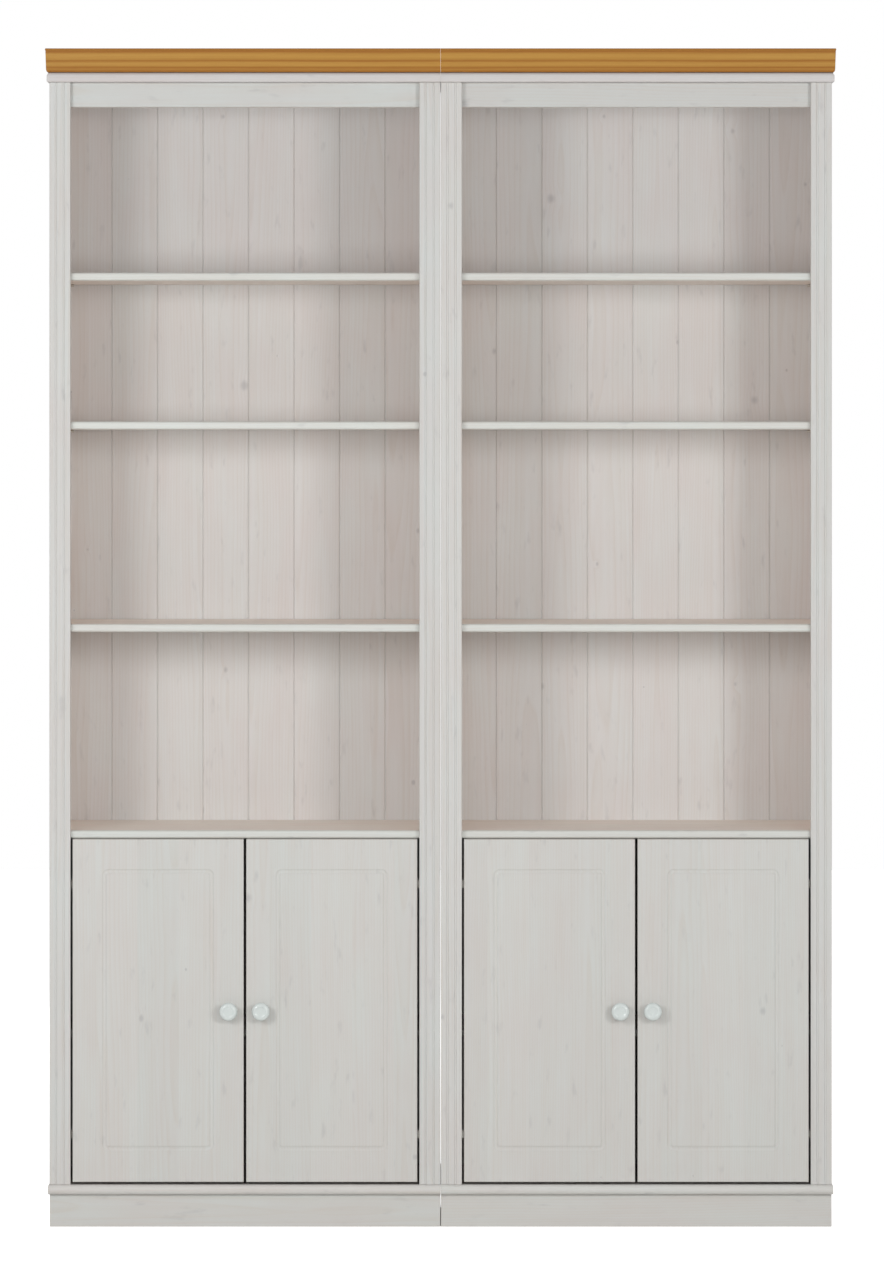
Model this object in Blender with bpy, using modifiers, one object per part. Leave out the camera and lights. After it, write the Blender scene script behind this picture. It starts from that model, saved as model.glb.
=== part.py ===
"""A pine wall unit: two tall bookcases side by side, mirrored about the seam between them.

Each bookcase has a plinth, a bottom and a top board with moulded edges, two side panels with
fluted stiles on their front edges, a tongue-and-groove back, five shelves, a header rail,
two doors on concealed cup hinges and a mitred crown.
Metres, +Z up, the fronts face -Y. The floor is z = 0 and the seam is x = 0.
Inside a bookcase u is the distance from the seam, so x = hand * u, where hand is 1 for the
right bookcase and -1 for the left one.
"""

import math

import bmesh
import bpy
from mathutils import Matrix

# Fits and cuts
FIT_GAP = 0.0003
CUT_OVERRUN = 0.004
UNION_OVERLAP = 0.001
WELD_DISTANCE = 0.00001

# Heights, from the floor up
PLINTH_HEIGHT = 0.0568
BOTTOM_BOARD_THICK = 0.0167
DOOR_BOTTOM_GAP = 0.0042
DOOR_HEIGHT = 0.5969
DOOR_TOP_GAP = 0.0006
SHELF_THICK = 0.014
THIRD_SHELF_CLEAR = 0.3456
SECOND_SHELF_CLEAR = 0.3388
TOP_SHELF_CLEAR = 0.2455
HEADER_CLEAR = 0.2878
HEADER_HEIGHT = 0.0424
TOP_BOARD_THICK = 0.0170
CROWN_HEIGHT = 0.0410
CUPBOARD_SHELF_CLEAR = 0.2535

# Widths
UNIT_WIDTH = 0.6801
SEAM_OVERHANG = 0.0004
SIDE_THICK = 0.018
STILE_WIDTH = 0.0365
DOOR_SIDE_GAP = 0.0035
DOOR_MEETING_GAP = 0.0043
SHELF_END_GAP = 0.001

# Depths
STILE_THICK = 0.012
SIDE_DEPTH = 0.318
BACK_THICK = 0.010
HEADER_THICK = 0.0182
DOOR_THICK = 0.0178
DOOR_SETBACK = 0.0011
SHELF_FRONT_GAP = 0.0009
SHELF_BACK_GAP = 0.0022
CUPBOARD_SHELF_SETBACK = 0.030
PLINTH_THICK = 0.016
PLINTH_SETBACK = 0.006

# Moulded and rounded edges
TOP_NOSE = 0.0125
TOP_END_OVERHANG = 0.0041
TOP_UPPER_ROUND = 0.007
TOP_LOWER_ROUND = 0.0021
BASE_NOSE = 0.0082
BASE_END_OVERHANG = 0.0023
BASE_FRONT_ROUND = 0.0076
BASE_END_ROUND = 0.0019
SHELF_ROUND = 0.0044
HEADER_ROUND = 0.0026
DOOR_ROUND = 0.0022
PLINTH_ROUND = 0.0012
MOULDING_STEPS = 4
EDGE_STEPS = 2

# Crown: a leaning face between a rounded foot and a lip
CROWN_THICK = 0.0185
CROWN_FOOT_SETBACK = 0.0016
CROWN_FOOT_BULGE = 0.0027
CROWN_FOOT_HEIGHT = 0.0062
CROWN_LEAN = 0.0010
CROWN_LIP = 0.0006
CROWN_LIP_HEIGHT = 0.0034
CROWN_TOP_ROUND = 0.00115
CROWN_FOOT_STEPS = 5

# Flutes of the stiles
FLUTE_SPACING = 0.0139
FLUTE_WIDTH = 0.0040
FLUTE_DEPTH = 0.0018
FLUTE_STEPS = 4
STILE_ROUND = 0.00155
STILE_ROUND_STEPS = 2

# Tongue-and-groove back
BACK_REBATE = 0.0081
BACK_BOARD_WIDTH = 0.08157
BACK_JOINT_SHIFT = 0.00345
BACK_GROOVE_WIDTH = 0.0031
BACK_GROOVE_DEPTH = 0.00165
BACK_EDGE_MARGIN = 0.0105

# Shelf pins, one with the side panel that holds them
PIN_RADIUS = 0.0025
PIN_REACH = 0.009
PIN_FROM_FRONT = 0.041
PIN_FROM_REAR = 0.045
PIN_SIDES = 12

# Routed line round a door's middle
LINE_SIDE_MARGIN = 0.0555
LINE_TOP_MARGIN = 0.0558
LINE_BOTTOM_MARGIN = 0.0594
LINE_WIDTH = 0.0079
LINE_DEPTH = 0.0015
LINE_CORNER_RADIUS = 0.0072
LINE_CORNER_STEPS = 3
LINE_TUBE_RESOLUTION = 3

# Knobs, turned, each in one piece with its screw
KNOB_FROM_MEETING_EDGE = 0.026
KNOB_PROJECTION = 0.0263
KNOB_RADIUS = 0.0158
KNOB_DISC_RADIUS = 0.0077
KNOB_DISC_DEPTH = 0.00085
KNOB_RIM_WIDTH = 0.0024
KNOB_UPPER_DROP = 0.0061
KNOB_LOWER_DROP = 0.0066
KNOB_NECK_RADIUS = 0.0064
KNOB_BASE_RADIUS = 0.0086
KNOB_BASE_THICK = 0.0028
KNOB_SCREW_RADIUS = 0.00205
KNOB_SCREW_HEAD_RADIUS = 0.0046
KNOB_SCREW_HEAD_THICK = 0.00235
KNOB_HOLE_RADIUS = 0.00265
KNOB_ARC_STEPS = 4
KNOB_SIDES = 24
KNOB_HOLE_SIDES = 16

# Cup hinges: a cup let into the door, and an arm whose neck reaches round the door's edge
HINGE_FROM_DOOR_END = 0.080
HINGE_INSET = 0.0225
PIVOT_DEPTH = 0.0079
CUP_RADIUS = 0.0175
CUP_WALL = 0.00145
CUP_DEPTH = 0.0130
CUP_FLOOR = 0.0010
CUP_FLANGE_RADIUS = 0.0194
CUP_FLANGE_THICK = 0.00125
CUP_EAR_LENGTH = 0.062
CUP_EAR_WIDTH = 0.0152
CUP_EAR_OFFSET = 0.0084
CUP_SIDES = 32
HINGE_PIN_RADIUS = 0.00163
HINGE_PIN_SIDES = 12
EYE_BORE_RADIUS = 0.00202
EYE_RADIUS = 0.0032
EYE_SIDES = 16
ARM_THICK = 0.0030
ARM_HEIGHT = 0.0141
NECK_RISE = 0.0199
NECK_RISE_ANGLE = math.radians(43)
NECK_RADIUS = 0.0271
NECK_START_ANGLE = math.radians(57)
NECK_END_ANGLE = math.radians(105)
NECK_STEPS = 6
CHANNEL_LENGTH = 0.0501
CHANNEL_THICK = 0.0069
PLATE_THICK = 0.0031
PLATE_HEIGHT = 0.0502
PLATE_LENGTH = 0.0242
PLATE_FROM_NECK = 0.0118

# Places along u, worked out from the widths
CARCASE_START = SEAM_OVERHANG + FIT_GAP / 2
CARCASE_END = CARCASE_START + UNIT_WIDTH
INNER_START = CARCASE_START + SIDE_THICK
INNER_END = CARCASE_END - SIDE_THICK
OPEN_START = CARCASE_START + STILE_WIDTH
OPEN_END = CARCASE_END - STILE_WIDTH
UNIT_MIDDLE = (CARCASE_START + CARCASE_END) / 2
BOARDS_START = CARCASE_START - SEAM_OVERHANG
TOP_BOARD_END = CARCASE_END + TOP_END_OVERHANG
BASE_BOARD_END = CARCASE_END + BASE_END_OVERHANG
DOOR_WIDTH = (OPEN_END - OPEN_START - DOOR_MEETING_GAP) / 2 - DOOR_SIDE_GAP
SIDE_FROM_PIVOT = STILE_WIDTH - SIDE_THICK + DOOR_SIDE_GAP + HINGE_INSET

# Places along y, worked out from the depths
CROWN_REACH = CROWN_FOOT_BULGE - CROWN_FOOT_SETBACK + CROWN_LEAN + CROWN_LIP
KNOB_REACH = KNOB_PROJECTION + FIT_GAP - DOOR_SETBACK
FRONT_REACH = max(TOP_NOSE + CROWN_REACH, KNOB_REACH)
REAR = (SIDE_DEPTH + FIT_GAP + STILE_THICK + FRONT_REACH) / 2
SIDE_FRONT = REAR - SIDE_DEPTH
STILE_BACK = SIDE_FRONT - FIT_GAP
STILE_FACE = STILE_BACK - STILE_THICK
PLINTH_FACE = STILE_FACE + PLINTH_SETBACK
NOSE_FRONT = STILE_FACE - TOP_NOSE
BACK_FACE = REAR - BACK_THICK
DOOR_FACE = STILE_FACE + DOOR_SETBACK
DOOR_BACK = DOOR_FACE + DOOR_THICK
PIVOT_Y = DOOR_BACK - PIVOT_DEPTH
SHELF_REAR = BACK_FACE - SHELF_BACK_GAP

# Places along z, worked out from the heights
BOTTOM_BOARD_LOW = PLINTH_HEIGHT + FIT_GAP
BOTTOM_BOARD_TOP = BOTTOM_BOARD_LOW + BOTTOM_BOARD_THICK
CARCASE_LOW = BOTTOM_BOARD_TOP + FIT_GAP
DOOR_LOW = BOTTOM_BOARD_TOP + DOOR_BOTTOM_GAP
DOOR_TOP = DOOR_LOW + DOOR_HEIGHT
MIDDLE_SHELF_LOW = DOOR_TOP + DOOR_TOP_GAP
THIRD_SHELF_LOW = MIDDLE_SHELF_LOW + SHELF_THICK + THIRD_SHELF_CLEAR
SECOND_SHELF_LOW = THIRD_SHELF_LOW + SHELF_THICK + SECOND_SHELF_CLEAR
TOP_SHELF_LOW = SECOND_SHELF_LOW + SHELF_THICK + TOP_SHELF_CLEAR
CUPBOARD_SHELF_LOW = BOTTOM_BOARD_TOP + CUPBOARD_SHELF_CLEAR
HEADER_LOW = TOP_SHELF_LOW + SHELF_THICK + HEADER_CLEAR
CARCASE_TOP = HEADER_LOW + HEADER_HEIGHT
TOP_BOARD_LOW = CARCASE_TOP + FIT_GAP
TOP_BOARD_TOP = TOP_BOARD_LOW + TOP_BOARD_THICK
CROWN_LOW = TOP_BOARD_TOP + FIT_GAP

# Loose shelves: name, height of the underside, and how far the front lies behind the sides' front
LOOSE_SHELVES = (
    ("top_shelf", TOP_SHELF_LOW, SHELF_FRONT_GAP),
    ("second_shelf", SECOND_SHELF_LOW, SHELF_FRONT_GAP),
    ("third_shelf", THIRD_SHELF_LOW, SHELF_FRONT_GAP),
    ("cupboard_shelf", CUPBOARD_SHELF_LOW, CUPBOARD_SHELF_SETBACK),
)

# Finishes: colour in linear RGB, roughness, metallic
FINISHES = {
    "white_glazed_pine": ((0.61, 0.60, 0.57), 0.55, 0.0),
    "honey_pine": ((0.47, 0.24, 0.06), 0.45, 0.0),
    "white_lacquer": ((0.66, 0.69, 0.68), 0.25, 0.0),
    "nickel_plated_steel": ((0.60, 0.59, 0.57), 0.30, 1.0),
}

# Turns a solid drawn along its own Z so that it runs along world Y, and its own Y up
LAID_ALONG_Y = Matrix.Rotation(math.radians(90), 4, "X")


def clear_scene():
    """Removes whatever the open file holds."""
    for thing in list(bpy.data.objects):
        bpy.data.objects.remove(thing, do_unlink=True)


def new_collection(name):
    """A collection directly under the scene's own."""
    made = bpy.data.collections.new(name)
    bpy.context.scene.collection.children.link(made)
    return made


def paint(obj, finish):
    """Gives a piece a material of its own with the values of a finish."""
    colour, roughness, metallic = FINISHES[finish]
    material = bpy.data.materials.new(f"{obj.name}_{finish}")
    material.use_nodes = True
    material.diffuse_color = (*colour, 1)
    surface = material.node_tree.nodes["Principled BSDF"]
    surface.inputs["Base Color"].default_value = (*colour, 1)
    surface.inputs["Roughness"].default_value = roughness
    surface.inputs["Metallic"].default_value = metallic
    obj.material_slots[0].link = "OBJECT"
    obj.material_slots[0].material = material


def add_piece(name, mesh, place, finish):
    """A named piece of the wall unit, made from a mesh and set at a place."""
    piece = bpy.data.objects.new(name, mesh)
    PIECES.objects.link(piece)
    piece.matrix_world = place
    if not mesh.materials:
        mesh.materials.append(None)
    paint(piece, finish)
    return piece


def add_operand(piece, mesh, place, operation):
    """Cuts a mesh out of a piece or joins it on. The place is in the piece's own axes."""
    operand = bpy.data.objects.new(f"{piece.name}_{operation.lower()}_{len(piece.modifiers)}", mesh)
    CUTTERS.objects.link(operand)
    operand.parent = piece
    operand.matrix_local = place
    operand.hide_render = True
    operand.display_type = "WIRE"
    modifier = piece.modifiers.new(operand.name, "BOOLEAN")
    modifier.operation = operation
    modifier.solver = "EXACT"
    modifier.object = operand


def box_mesh(name, size, radii=None):
    """A box about its middle. Radii names the edges to round by the signs of their middles."""
    mesh = bpy.data.meshes.new(name)
    shape = bmesh.new()
    bmesh.ops.create_cube(shape, size=1)
    bmesh.ops.scale(shape, vec=size, verts=shape.verts)
    if radii:
        weight = shape.edges.layers.float.new("bevel_weight_edge")
        for edge in shape.edges:
            middle = (edge.verts[0].co + edge.verts[1].co) / 2
            signs = tuple(round(2 * along / side) for along, side in zip(middle, size))
            edge[weight] = radii.get(signs, 0) / max(radii.values())
    shape.to_mesh(mesh)
    shape.free()
    return mesh


def drum_mesh(name, radius, length, sides, middles=((0, 0, 0),)):
    """Cylinders along Z, one about each of the middles."""
    mesh = bpy.data.meshes.new(name)
    shape = bmesh.new()
    for middle in middles:
        bmesh.ops.create_cone(
            shape,
            cap_ends=True,
            segments=sides,
            radius1=radius,
            radius2=radius,
            depth=length,
            matrix=Matrix.Translation(middle),
        )
    shape.to_mesh(mesh)
    shape.free()
    return mesh


def mesh_of_curve(curve):
    """The closed mesh of a curve, its caps welded to its sides."""
    guide = bpy.data.objects.new(curve.name, curve)
    CUTTERS.objects.link(guide)
    graph = bpy.context.evaluated_depsgraph_get()
    mesh = bpy.data.meshes.new_from_object(guide.evaluated_get(graph))
    mesh.name = curve.name
    shape = bmesh.new()
    shape.from_mesh(mesh)
    bmesh.ops.remove_doubles(shape, verts=shape.verts, dist=WELD_DISTANCE)
    bmesh.ops.recalc_face_normals(shape, faces=shape.faces)
    shape.to_mesh(mesh)
    shape.free()
    bpy.data.objects.remove(guide)
    bpy.data.curves.remove(curve)
    return mesh


def closed_spline(curve, points):
    """Adds a closed run of straight lines through flat points to a curve."""
    spline = curve.splines.new("POLY")
    spline.points.add(len(points) - 1)
    for point, (x, y) in zip(spline.points, points):
        point.co = (x, y, 0, 1)
    spline.use_cyclic_u = True


def outline_mesh(name, points, length):
    """A flat outline in X and Y, drawn out along Z by half its length to each side."""
    curve = bpy.data.curves.new(name, "CURVE")
    curve.dimensions = "2D"
    curve.fill_mode = "BOTH"
    curve.extrude = length / 2
    closed_spline(curve, points)
    return mesh_of_curve(curve)


def ring_mesh(name, points, radius, resolution):
    """A round tube along a closed flat path in X and Y."""
    curve = bpy.data.curves.new(name, "CURVE")
    curve.dimensions = "3D"
    curve.bevel_depth = radius
    curve.bevel_resolution = resolution
    closed_spline(curve, points)
    return mesh_of_curve(curve)


def arc_points(middle, radii, start, end, steps):
    """Points along an elliptical arc, angles in degrees from +X towards +Y."""
    points = []
    for step in range(steps + 1):
        angle = math.radians(start + (end - start) * step / steps)
        points.append((middle[0] + radii[0] * math.cos(angle), middle[1] + radii[1] * math.sin(angle)))
    return points


def cove_radius(width, depth):
    """The radius of a round cut of this width and depth."""
    return (width**2 / 4 + depth**2) / (2 * depth)


def board(name, hand, along, deep, tall, finish, radii=None, steps=EDGE_STEPS):
    """A straight board between two values each of u, y and z, with some edges rounded."""
    spans = (sorted(hand * u for u in along), deep, tall)
    size = [end - start for start, end in spans]
    middle = [(start + end) / 2 for start, end in spans]
    piece = add_piece(name, box_mesh(name, size, radii), Matrix.Translation(middle), finish)
    if radii:
        rounding = piece.modifiers.new("rounded_edges", "BEVEL")
        rounding.width = max(radii.values())
        rounding.segments = steps
        rounding.limit_method = "WEIGHT"
    return piece


def upright(name, outline, x, low, top, finish):
    """A piece of one cross-section, drawn in x and y, standing between two heights."""
    place = Matrix.Translation((x, 0, (low + top) / 2))
    return add_piece(name, outline_mesh(name, outline, top - low), place, finish)


def add_plinth(unit, hand):
    """Three boards on the floor: the front one covers the ends of the two side ones."""
    front_back = PLINTH_FACE + PLINTH_THICK
    tall = (0, PLINTH_HEIGHT)
    corner = {(-1, -1, 0): PLINTH_ROUND, (1, -1, 0): PLINTH_ROUND}
    along = (CARCASE_START, CARCASE_END)
    board(f"{unit}_plinth_front", hand, along, (PLINTH_FACE, front_back), tall, "white_glazed_pine", corner)
    deep = (front_back + FIT_GAP, REAR)
    for side, start in (("inner", CARCASE_START), ("outer", CARCASE_END - PLINTH_THICK)):
        along = (start, start + PLINTH_THICK)
        board(f"{unit}_plinth_{side}", hand, along, deep, tall, "white_glazed_pine")


def add_bottom_and_top(unit, hand):
    """The two boards that overhang the carcase, moulded along the front and the outer end."""
    radii = {
        (0, -1, 1): BASE_FRONT_ROUND,
        (0, -1, -1): BASE_FRONT_ROUND,
        (hand, 0, 1): BASE_END_ROUND,
        (hand, 0, -1): BASE_END_ROUND,
    }
    along = (BOARDS_START, BASE_BOARD_END)
    deep = (STILE_FACE - BASE_NOSE, REAR)
    tall = (BOTTOM_BOARD_LOW, BOTTOM_BOARD_TOP)
    board(f"{unit}_bottom_board", hand, along, deep, tall, "white_glazed_pine", radii, MOULDING_STEPS)
    radii = {
        (0, -1, 1): TOP_UPPER_ROUND,
        (0, -1, -1): TOP_LOWER_ROUND,
        (hand, 0, 1): TOP_UPPER_ROUND,
        (hand, 0, -1): TOP_LOWER_ROUND,
    }
    along = (BOARDS_START, TOP_BOARD_END)
    deep = (NOSE_FRONT, REAR)
    tall = (TOP_BOARD_LOW, TOP_BOARD_TOP)
    board(f"{unit}_top_board", hand, along, deep, tall, "white_glazed_pine", radii, MOULDING_STEPS)


def add_side(unit, side, hand):
    """A side panel, rebated for the back, with the pins that carry the loose shelves."""
    outward = hand if side == "outer" else -hand
    inner_face = hand * (INNER_END if side == "outer" else INNER_START)
    shoulder = BACK_FACE - FIT_GAP
    outline = (
        (0, SIDE_FRONT),
        (outward * SIDE_THICK, SIDE_FRONT),
        (outward * SIDE_THICK, REAR),
        (outward * BACK_REBATE, REAR),
        (outward * BACK_REBATE, shoulder),
        (0, shoulder),
    )
    name = f"{unit}_{side}_side"
    panel = upright(name, outline, inner_face, CARCASE_LOW, CARCASE_TOP, "white_glazed_pine")
    pin_length = PIN_REACH + UNION_OVERLAP
    pin_x = outward * (UNION_OVERLAP - PIN_REACH) / 2
    middles = []
    for _, shelf_low, setback in LOOSE_SHELVES:
        z = shelf_low - FIT_GAP - PIN_RADIUS - (CARCASE_LOW + CARCASE_TOP) / 2
        for y in (SIDE_FRONT + setback + PIN_FROM_FRONT, SHELF_REAR - PIN_FROM_REAR):
            middles.append((-z, y, pin_x))
    pins = drum_mesh(f"{name}_pins", PIN_RADIUS, pin_length, PIN_SIDES, middles)
    add_operand(panel, pins, Matrix.Rotation(math.radians(90), 4, "Y"), "UNION")


def stile_outline():
    """The cross-section of a stile about its middle: rounded front corners and two coves."""
    half = STILE_WIDTH / 2
    cove = cove_radius(FLUTE_WIDTH, FLUTE_DEPTH)
    spread = math.degrees(math.asin(FLUTE_WIDTH / 2 / cove))
    round_radii = (STILE_ROUND, STILE_ROUND)
    front_y = STILE_FACE + STILE_ROUND
    points = [(-half, STILE_BACK)]
    points += arc_points((STILE_ROUND - half, front_y), round_radii, 180, 270, STILE_ROUND_STEPS)
    for x in (-FLUTE_SPACING / 2, FLUTE_SPACING / 2):
        middle = (x, STILE_FACE + FLUTE_DEPTH - cove)
        points += arc_points(middle, (cove, cove), 90 + spread, 90 - spread, FLUTE_STEPS)
    points += arc_points((half - STILE_ROUND, front_y), round_radii, 270, 360, STILE_ROUND_STEPS)
    points.append((half, STILE_BACK))
    return points


def add_stiles(unit, hand):
    """The fluted strips on the front edges of the side panels."""
    for side, start in (("inner", CARCASE_START), ("outer", OPEN_END)):
        x = hand * (start + STILE_WIDTH / 2)
        name = f"{unit}_{side}_stile"
        upright(name, stile_outline(), x, CARCASE_LOW, CARCASE_TOP, "white_glazed_pine")


def add_back(unit, hand):
    """The back of tongue-and-groove boards, with a V where two boards meet."""
    start = INNER_START - BACK_REBATE + FIT_GAP
    end = INNER_END + BACK_REBATE - FIT_GAP
    middle_joint = UNIT_MIDDLE + BACK_JOINT_SHIFT
    boards_each_way = math.ceil((end - start) / BACK_BOARD_WIDTH)
    points = [(start, REAR), (start, BACK_FACE)]
    for count in range(-boards_each_way, boards_each_way + 1):
        joint = middle_joint + count * BACK_BOARD_WIDTH
        if start + BACK_EDGE_MARGIN < joint < end - BACK_EDGE_MARGIN:
            points.append((joint - BACK_GROOVE_WIDTH / 2, BACK_FACE))
            points.append((joint, BACK_FACE + BACK_GROOVE_DEPTH))
            points.append((joint + BACK_GROOVE_WIDTH / 2, BACK_FACE))
    points += [(end, BACK_FACE), (end, REAR)]
    outline = [(hand * u, y) for u, y in points]
    upright(f"{unit}_back", outline, 0, CARCASE_LOW, CARCASE_TOP, "white_glazed_pine")


def add_shelves(unit, hand):
    """The fixed shelf over the doors, four loose shelves and the header rail."""
    radii = {(0, -1, 1): SHELF_ROUND, (0, -1, -1): SHELF_ROUND}
    between_sides = (INNER_START + FIT_GAP, INNER_END - FIT_GAP)
    deep = (SIDE_FRONT, BACK_FACE - FIT_GAP)
    tall = (MIDDLE_SHELF_LOW, MIDDLE_SHELF_LOW + SHELF_THICK)
    name = f"{unit}_middle_shelf"
    board(name, hand, between_sides, deep, tall, "white_glazed_pine", radii, MOULDING_STEPS)
    on_pins = (INNER_START + SHELF_END_GAP, INNER_END - SHELF_END_GAP)
    for name, low, setback in LOOSE_SHELVES:
        deep = (SIDE_FRONT + setback, SHELF_REAR)
        tall = (low, low + SHELF_THICK)
        board(f"{unit}_{name}", hand, on_pins, deep, tall, "white_glazed_pine", radii, MOULDING_STEPS)
    deep = (SIDE_FRONT, SIDE_FRONT + HEADER_THICK)
    tall = (HEADER_LOW, CARCASE_TOP)
    radii = {(0, -1, -1): HEADER_ROUND}
    board(f"{unit}_header_rail", hand, between_sides, deep, tall, "white_glazed_pine", radii)


def crown_outline():
    """The crown's cross-section: X is out from the top board's nose, Y is up from its foot."""
    foot = -CROWN_FOOT_SETBACK
    radii = (CROWN_FOOT_BULGE, CROWN_FOOT_HEIGHT)
    points = arc_points((foot, CROWN_FOOT_HEIGHT), radii, 270, 360, CROWN_FOOT_STEPS)
    lip_low = CROWN_HEIGHT - CROWN_LIP_HEIGHT
    lip_front = CROWN_REACH
    points.append((lip_front - CROWN_LIP, lip_low))
    points.append((lip_front, lip_low + CROWN_LIP))
    round_middle = (lip_front - CROWN_TOP_ROUND, CROWN_HEIGHT - CROWN_TOP_ROUND)
    points += arc_points(round_middle, (CROWN_TOP_ROUND, CROWN_TOP_ROUND), 0, 90, EDGE_STEPS)
    points += [(foot - CROWN_THICK, CROWN_HEIGHT), (foot - CROWN_THICK, 0)]
    return points


def mitre_end(mesh, end):
    """Slants one end of a drawn outline at 45 degrees: what stands out further reaches further."""
    for vertex in mesh.vertices:
        if vertex.co.z * end > 0:
            vertex.co.z += end * (vertex.co.x - FIT_GAP / math.sqrt(2))


def add_crown(unit, hand):
    """The crown front and its return along the outer end, mitred where they meet."""
    length = TOP_BOARD_END - BOARDS_START
    front = outline_mesh(f"{unit}_crown_front", crown_outline(), length)
    mitre_end(front, -hand)
    facing_front = Matrix(((0, 0, -1, 0), (-1, 0, 0, 0), (0, 1, 0, 0), (0, 0, 0, 1)))
    middle = (hand * (TOP_BOARD_END + BOARDS_START) / 2, NOSE_FRONT, CROWN_LOW)
    add_piece(f"{unit}_crown_front", front, Matrix.Translation(middle) @ facing_front, "honey_pine")
    length = REAR - NOSE_FRONT
    back = outline_mesh(f"{unit}_crown_return", crown_outline(), length)
    mitre_end(back, hand)
    facing_out = Matrix(((hand, 0, 0, 0), (0, 0, -hand, 0), (0, 1, 0, 0), (0, 0, 0, 1)))
    middle = (hand * TOP_BOARD_END, (REAR + NOSE_FRONT) / 2, CROWN_LOW)
    add_piece(f"{unit}_crown_return", back, Matrix.Translation(middle) @ facing_out, "honey_pine")


def routed_line_path():
    """The middle of the routed line, a rectangle with round corners about the door's middle."""
    across = DOOR_WIDTH / 2 - LINE_SIDE_MARGIN - LINE_CORNER_RADIUS
    low = LINE_BOTTOM_MARGIN + LINE_CORNER_RADIUS - DOOR_HEIGHT / 2
    top = DOOR_HEIGHT / 2 - LINE_TOP_MARGIN - LINE_CORNER_RADIUS
    radii = (LINE_CORNER_RADIUS, LINE_CORNER_RADIUS)
    points = []
    for turn, middle in enumerate(((across, top), (-across, top), (-across, low), (across, low))):
        start = 90 * turn
        points += arc_points(middle, radii, start, start + 90, LINE_CORNER_STEPS)
    return points


def knob_profile():
    """Half of a knob's outline from its crown to its screw's head: radius, and height off the door."""
    rim = KNOB_DISC_RADIUS + KNOB_RIM_WIDTH
    widest = KNOB_PROJECTION - KNOB_UPPER_DROP
    neck_top = widest - KNOB_LOWER_DROP
    upper = (KNOB_RADIUS - rim, KNOB_UPPER_DROP)
    lower = (KNOB_RADIUS - KNOB_NECK_RADIUS, KNOB_LOWER_DROP)
    screw_end = -DOOR_THICK - 2 * FIT_GAP
    dish = KNOB_PROJECTION - KNOB_DISC_DEPTH
    points = [(0, dish), (KNOB_DISC_RADIUS, dish)]
    points += arc_points((rim, widest), upper, 90, 0, KNOB_ARC_STEPS)
    points += arc_points((KNOB_NECK_RADIUS, widest), lower, 0, -90, KNOB_ARC_STEPS)[1:]
    points += [
        (KNOB_NECK_RADIUS, (neck_top + KNOB_BASE_THICK) / 2),
        (KNOB_BASE_RADIUS, KNOB_BASE_THICK),
        (KNOB_BASE_RADIUS, 0),
        (KNOB_SCREW_RADIUS, 0),
        (KNOB_SCREW_RADIUS, screw_end),
        (KNOB_SCREW_HEAD_RADIUS, screw_end),
        (KNOB_SCREW_HEAD_RADIUS, screw_end - KNOB_SCREW_HEAD_THICK),
        (0, screw_end - KNOB_SCREW_HEAD_THICK),
    ]
    return points


def add_knob(name, x, z):
    """A turned knob, its base against the door and its screw through it."""
    profile = [(radius, 0, height) for radius, height in knob_profile()]
    edges = [(start, start + 1) for start in range(len(profile) - 1)]
    mesh = bpy.data.meshes.new(name)
    mesh.from_pydata(profile, edges, [])
    place = Matrix.Translation((x, DOOR_FACE - FIT_GAP, z)) @ LAID_ALONG_Y
    knob = add_piece(name, mesh, place, "white_lacquer")
    turning = knob.modifiers.new("turning", "SCREW")
    turning.steps = KNOB_SIDES
    turning.render_steps = KNOB_SIDES
    turning.use_merge_vertices = True
    turning.merge_threshold = WELD_DISTANCE
    turning.use_smooth_shade = True
    return knob


def baked_mesh(piece):
    """The mesh of a piece with its modifiers applied. The piece and its operands are removed."""
    graph = bpy.context.evaluated_depsgraph_get()
    mesh = bpy.data.meshes.new_from_object(piece.evaluated_get(graph))
    mesh.name = piece.name
    for operand in list(piece.children):
        bpy.data.objects.remove(operand)
    bpy.data.objects.remove(piece)
    return mesh


def cup_mesh(name):
    """A hinge cup about its pivot: flange, two ears and a pin across the hollow."""
    back = PIVOT_DEPTH
    seat = back + FIT_GAP
    flange_top = seat + CUP_FLANGE_THICK
    floor = back - CUP_DEPTH
    body = drum_mesh(name, CUP_RADIUS, flange_top - floor, CUP_SIDES)
    place = Matrix.Translation((0, (flange_top + floor) / 2, 0)) @ LAID_ALONG_Y
    cup = add_piece(name, body, place, "nickel_plated_steel")
    to_cup = place.inverted()
    flange_place = to_cup @ Matrix.Translation((0, (seat + flange_top) / 2, 0))
    flange = drum_mesh(f"{name}_flange", CUP_FLANGE_RADIUS, CUP_FLANGE_THICK, CUP_SIDES)
    add_operand(cup, flange, flange_place @ LAID_ALONG_Y, "UNION")
    ears = box_mesh(f"{name}_ears", (CUP_EAR_WIDTH, CUP_FLANGE_THICK, CUP_EAR_LENGTH))
    add_operand(cup, ears, flange_place @ Matrix.Translation((-CUP_EAR_OFFSET, 0, 0)), "UNION")
    hollow_floor = floor + CUP_FLOOR
    hollow_depth = flange_top + CUT_OVERRUN - hollow_floor
    hollow = drum_mesh(f"{name}_hollow", CUP_RADIUS - CUP_WALL, hollow_depth, CUP_SIDES)
    hollow_place = Matrix.Translation((0, hollow_floor + hollow_depth / 2, 0)) @ LAID_ALONG_Y
    add_operand(cup, hollow, to_cup @ hollow_place, "DIFFERENCE")
    pin = drum_mesh(f"{name}_pin", HINGE_PIN_RADIUS, 2 * CUP_RADIUS - CUP_WALL, HINGE_PIN_SIDES)
    add_operand(cup, pin, to_cup, "UNION")
    mesh = baked_mesh(cup)
    mesh.transform(place)
    return mesh


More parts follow.
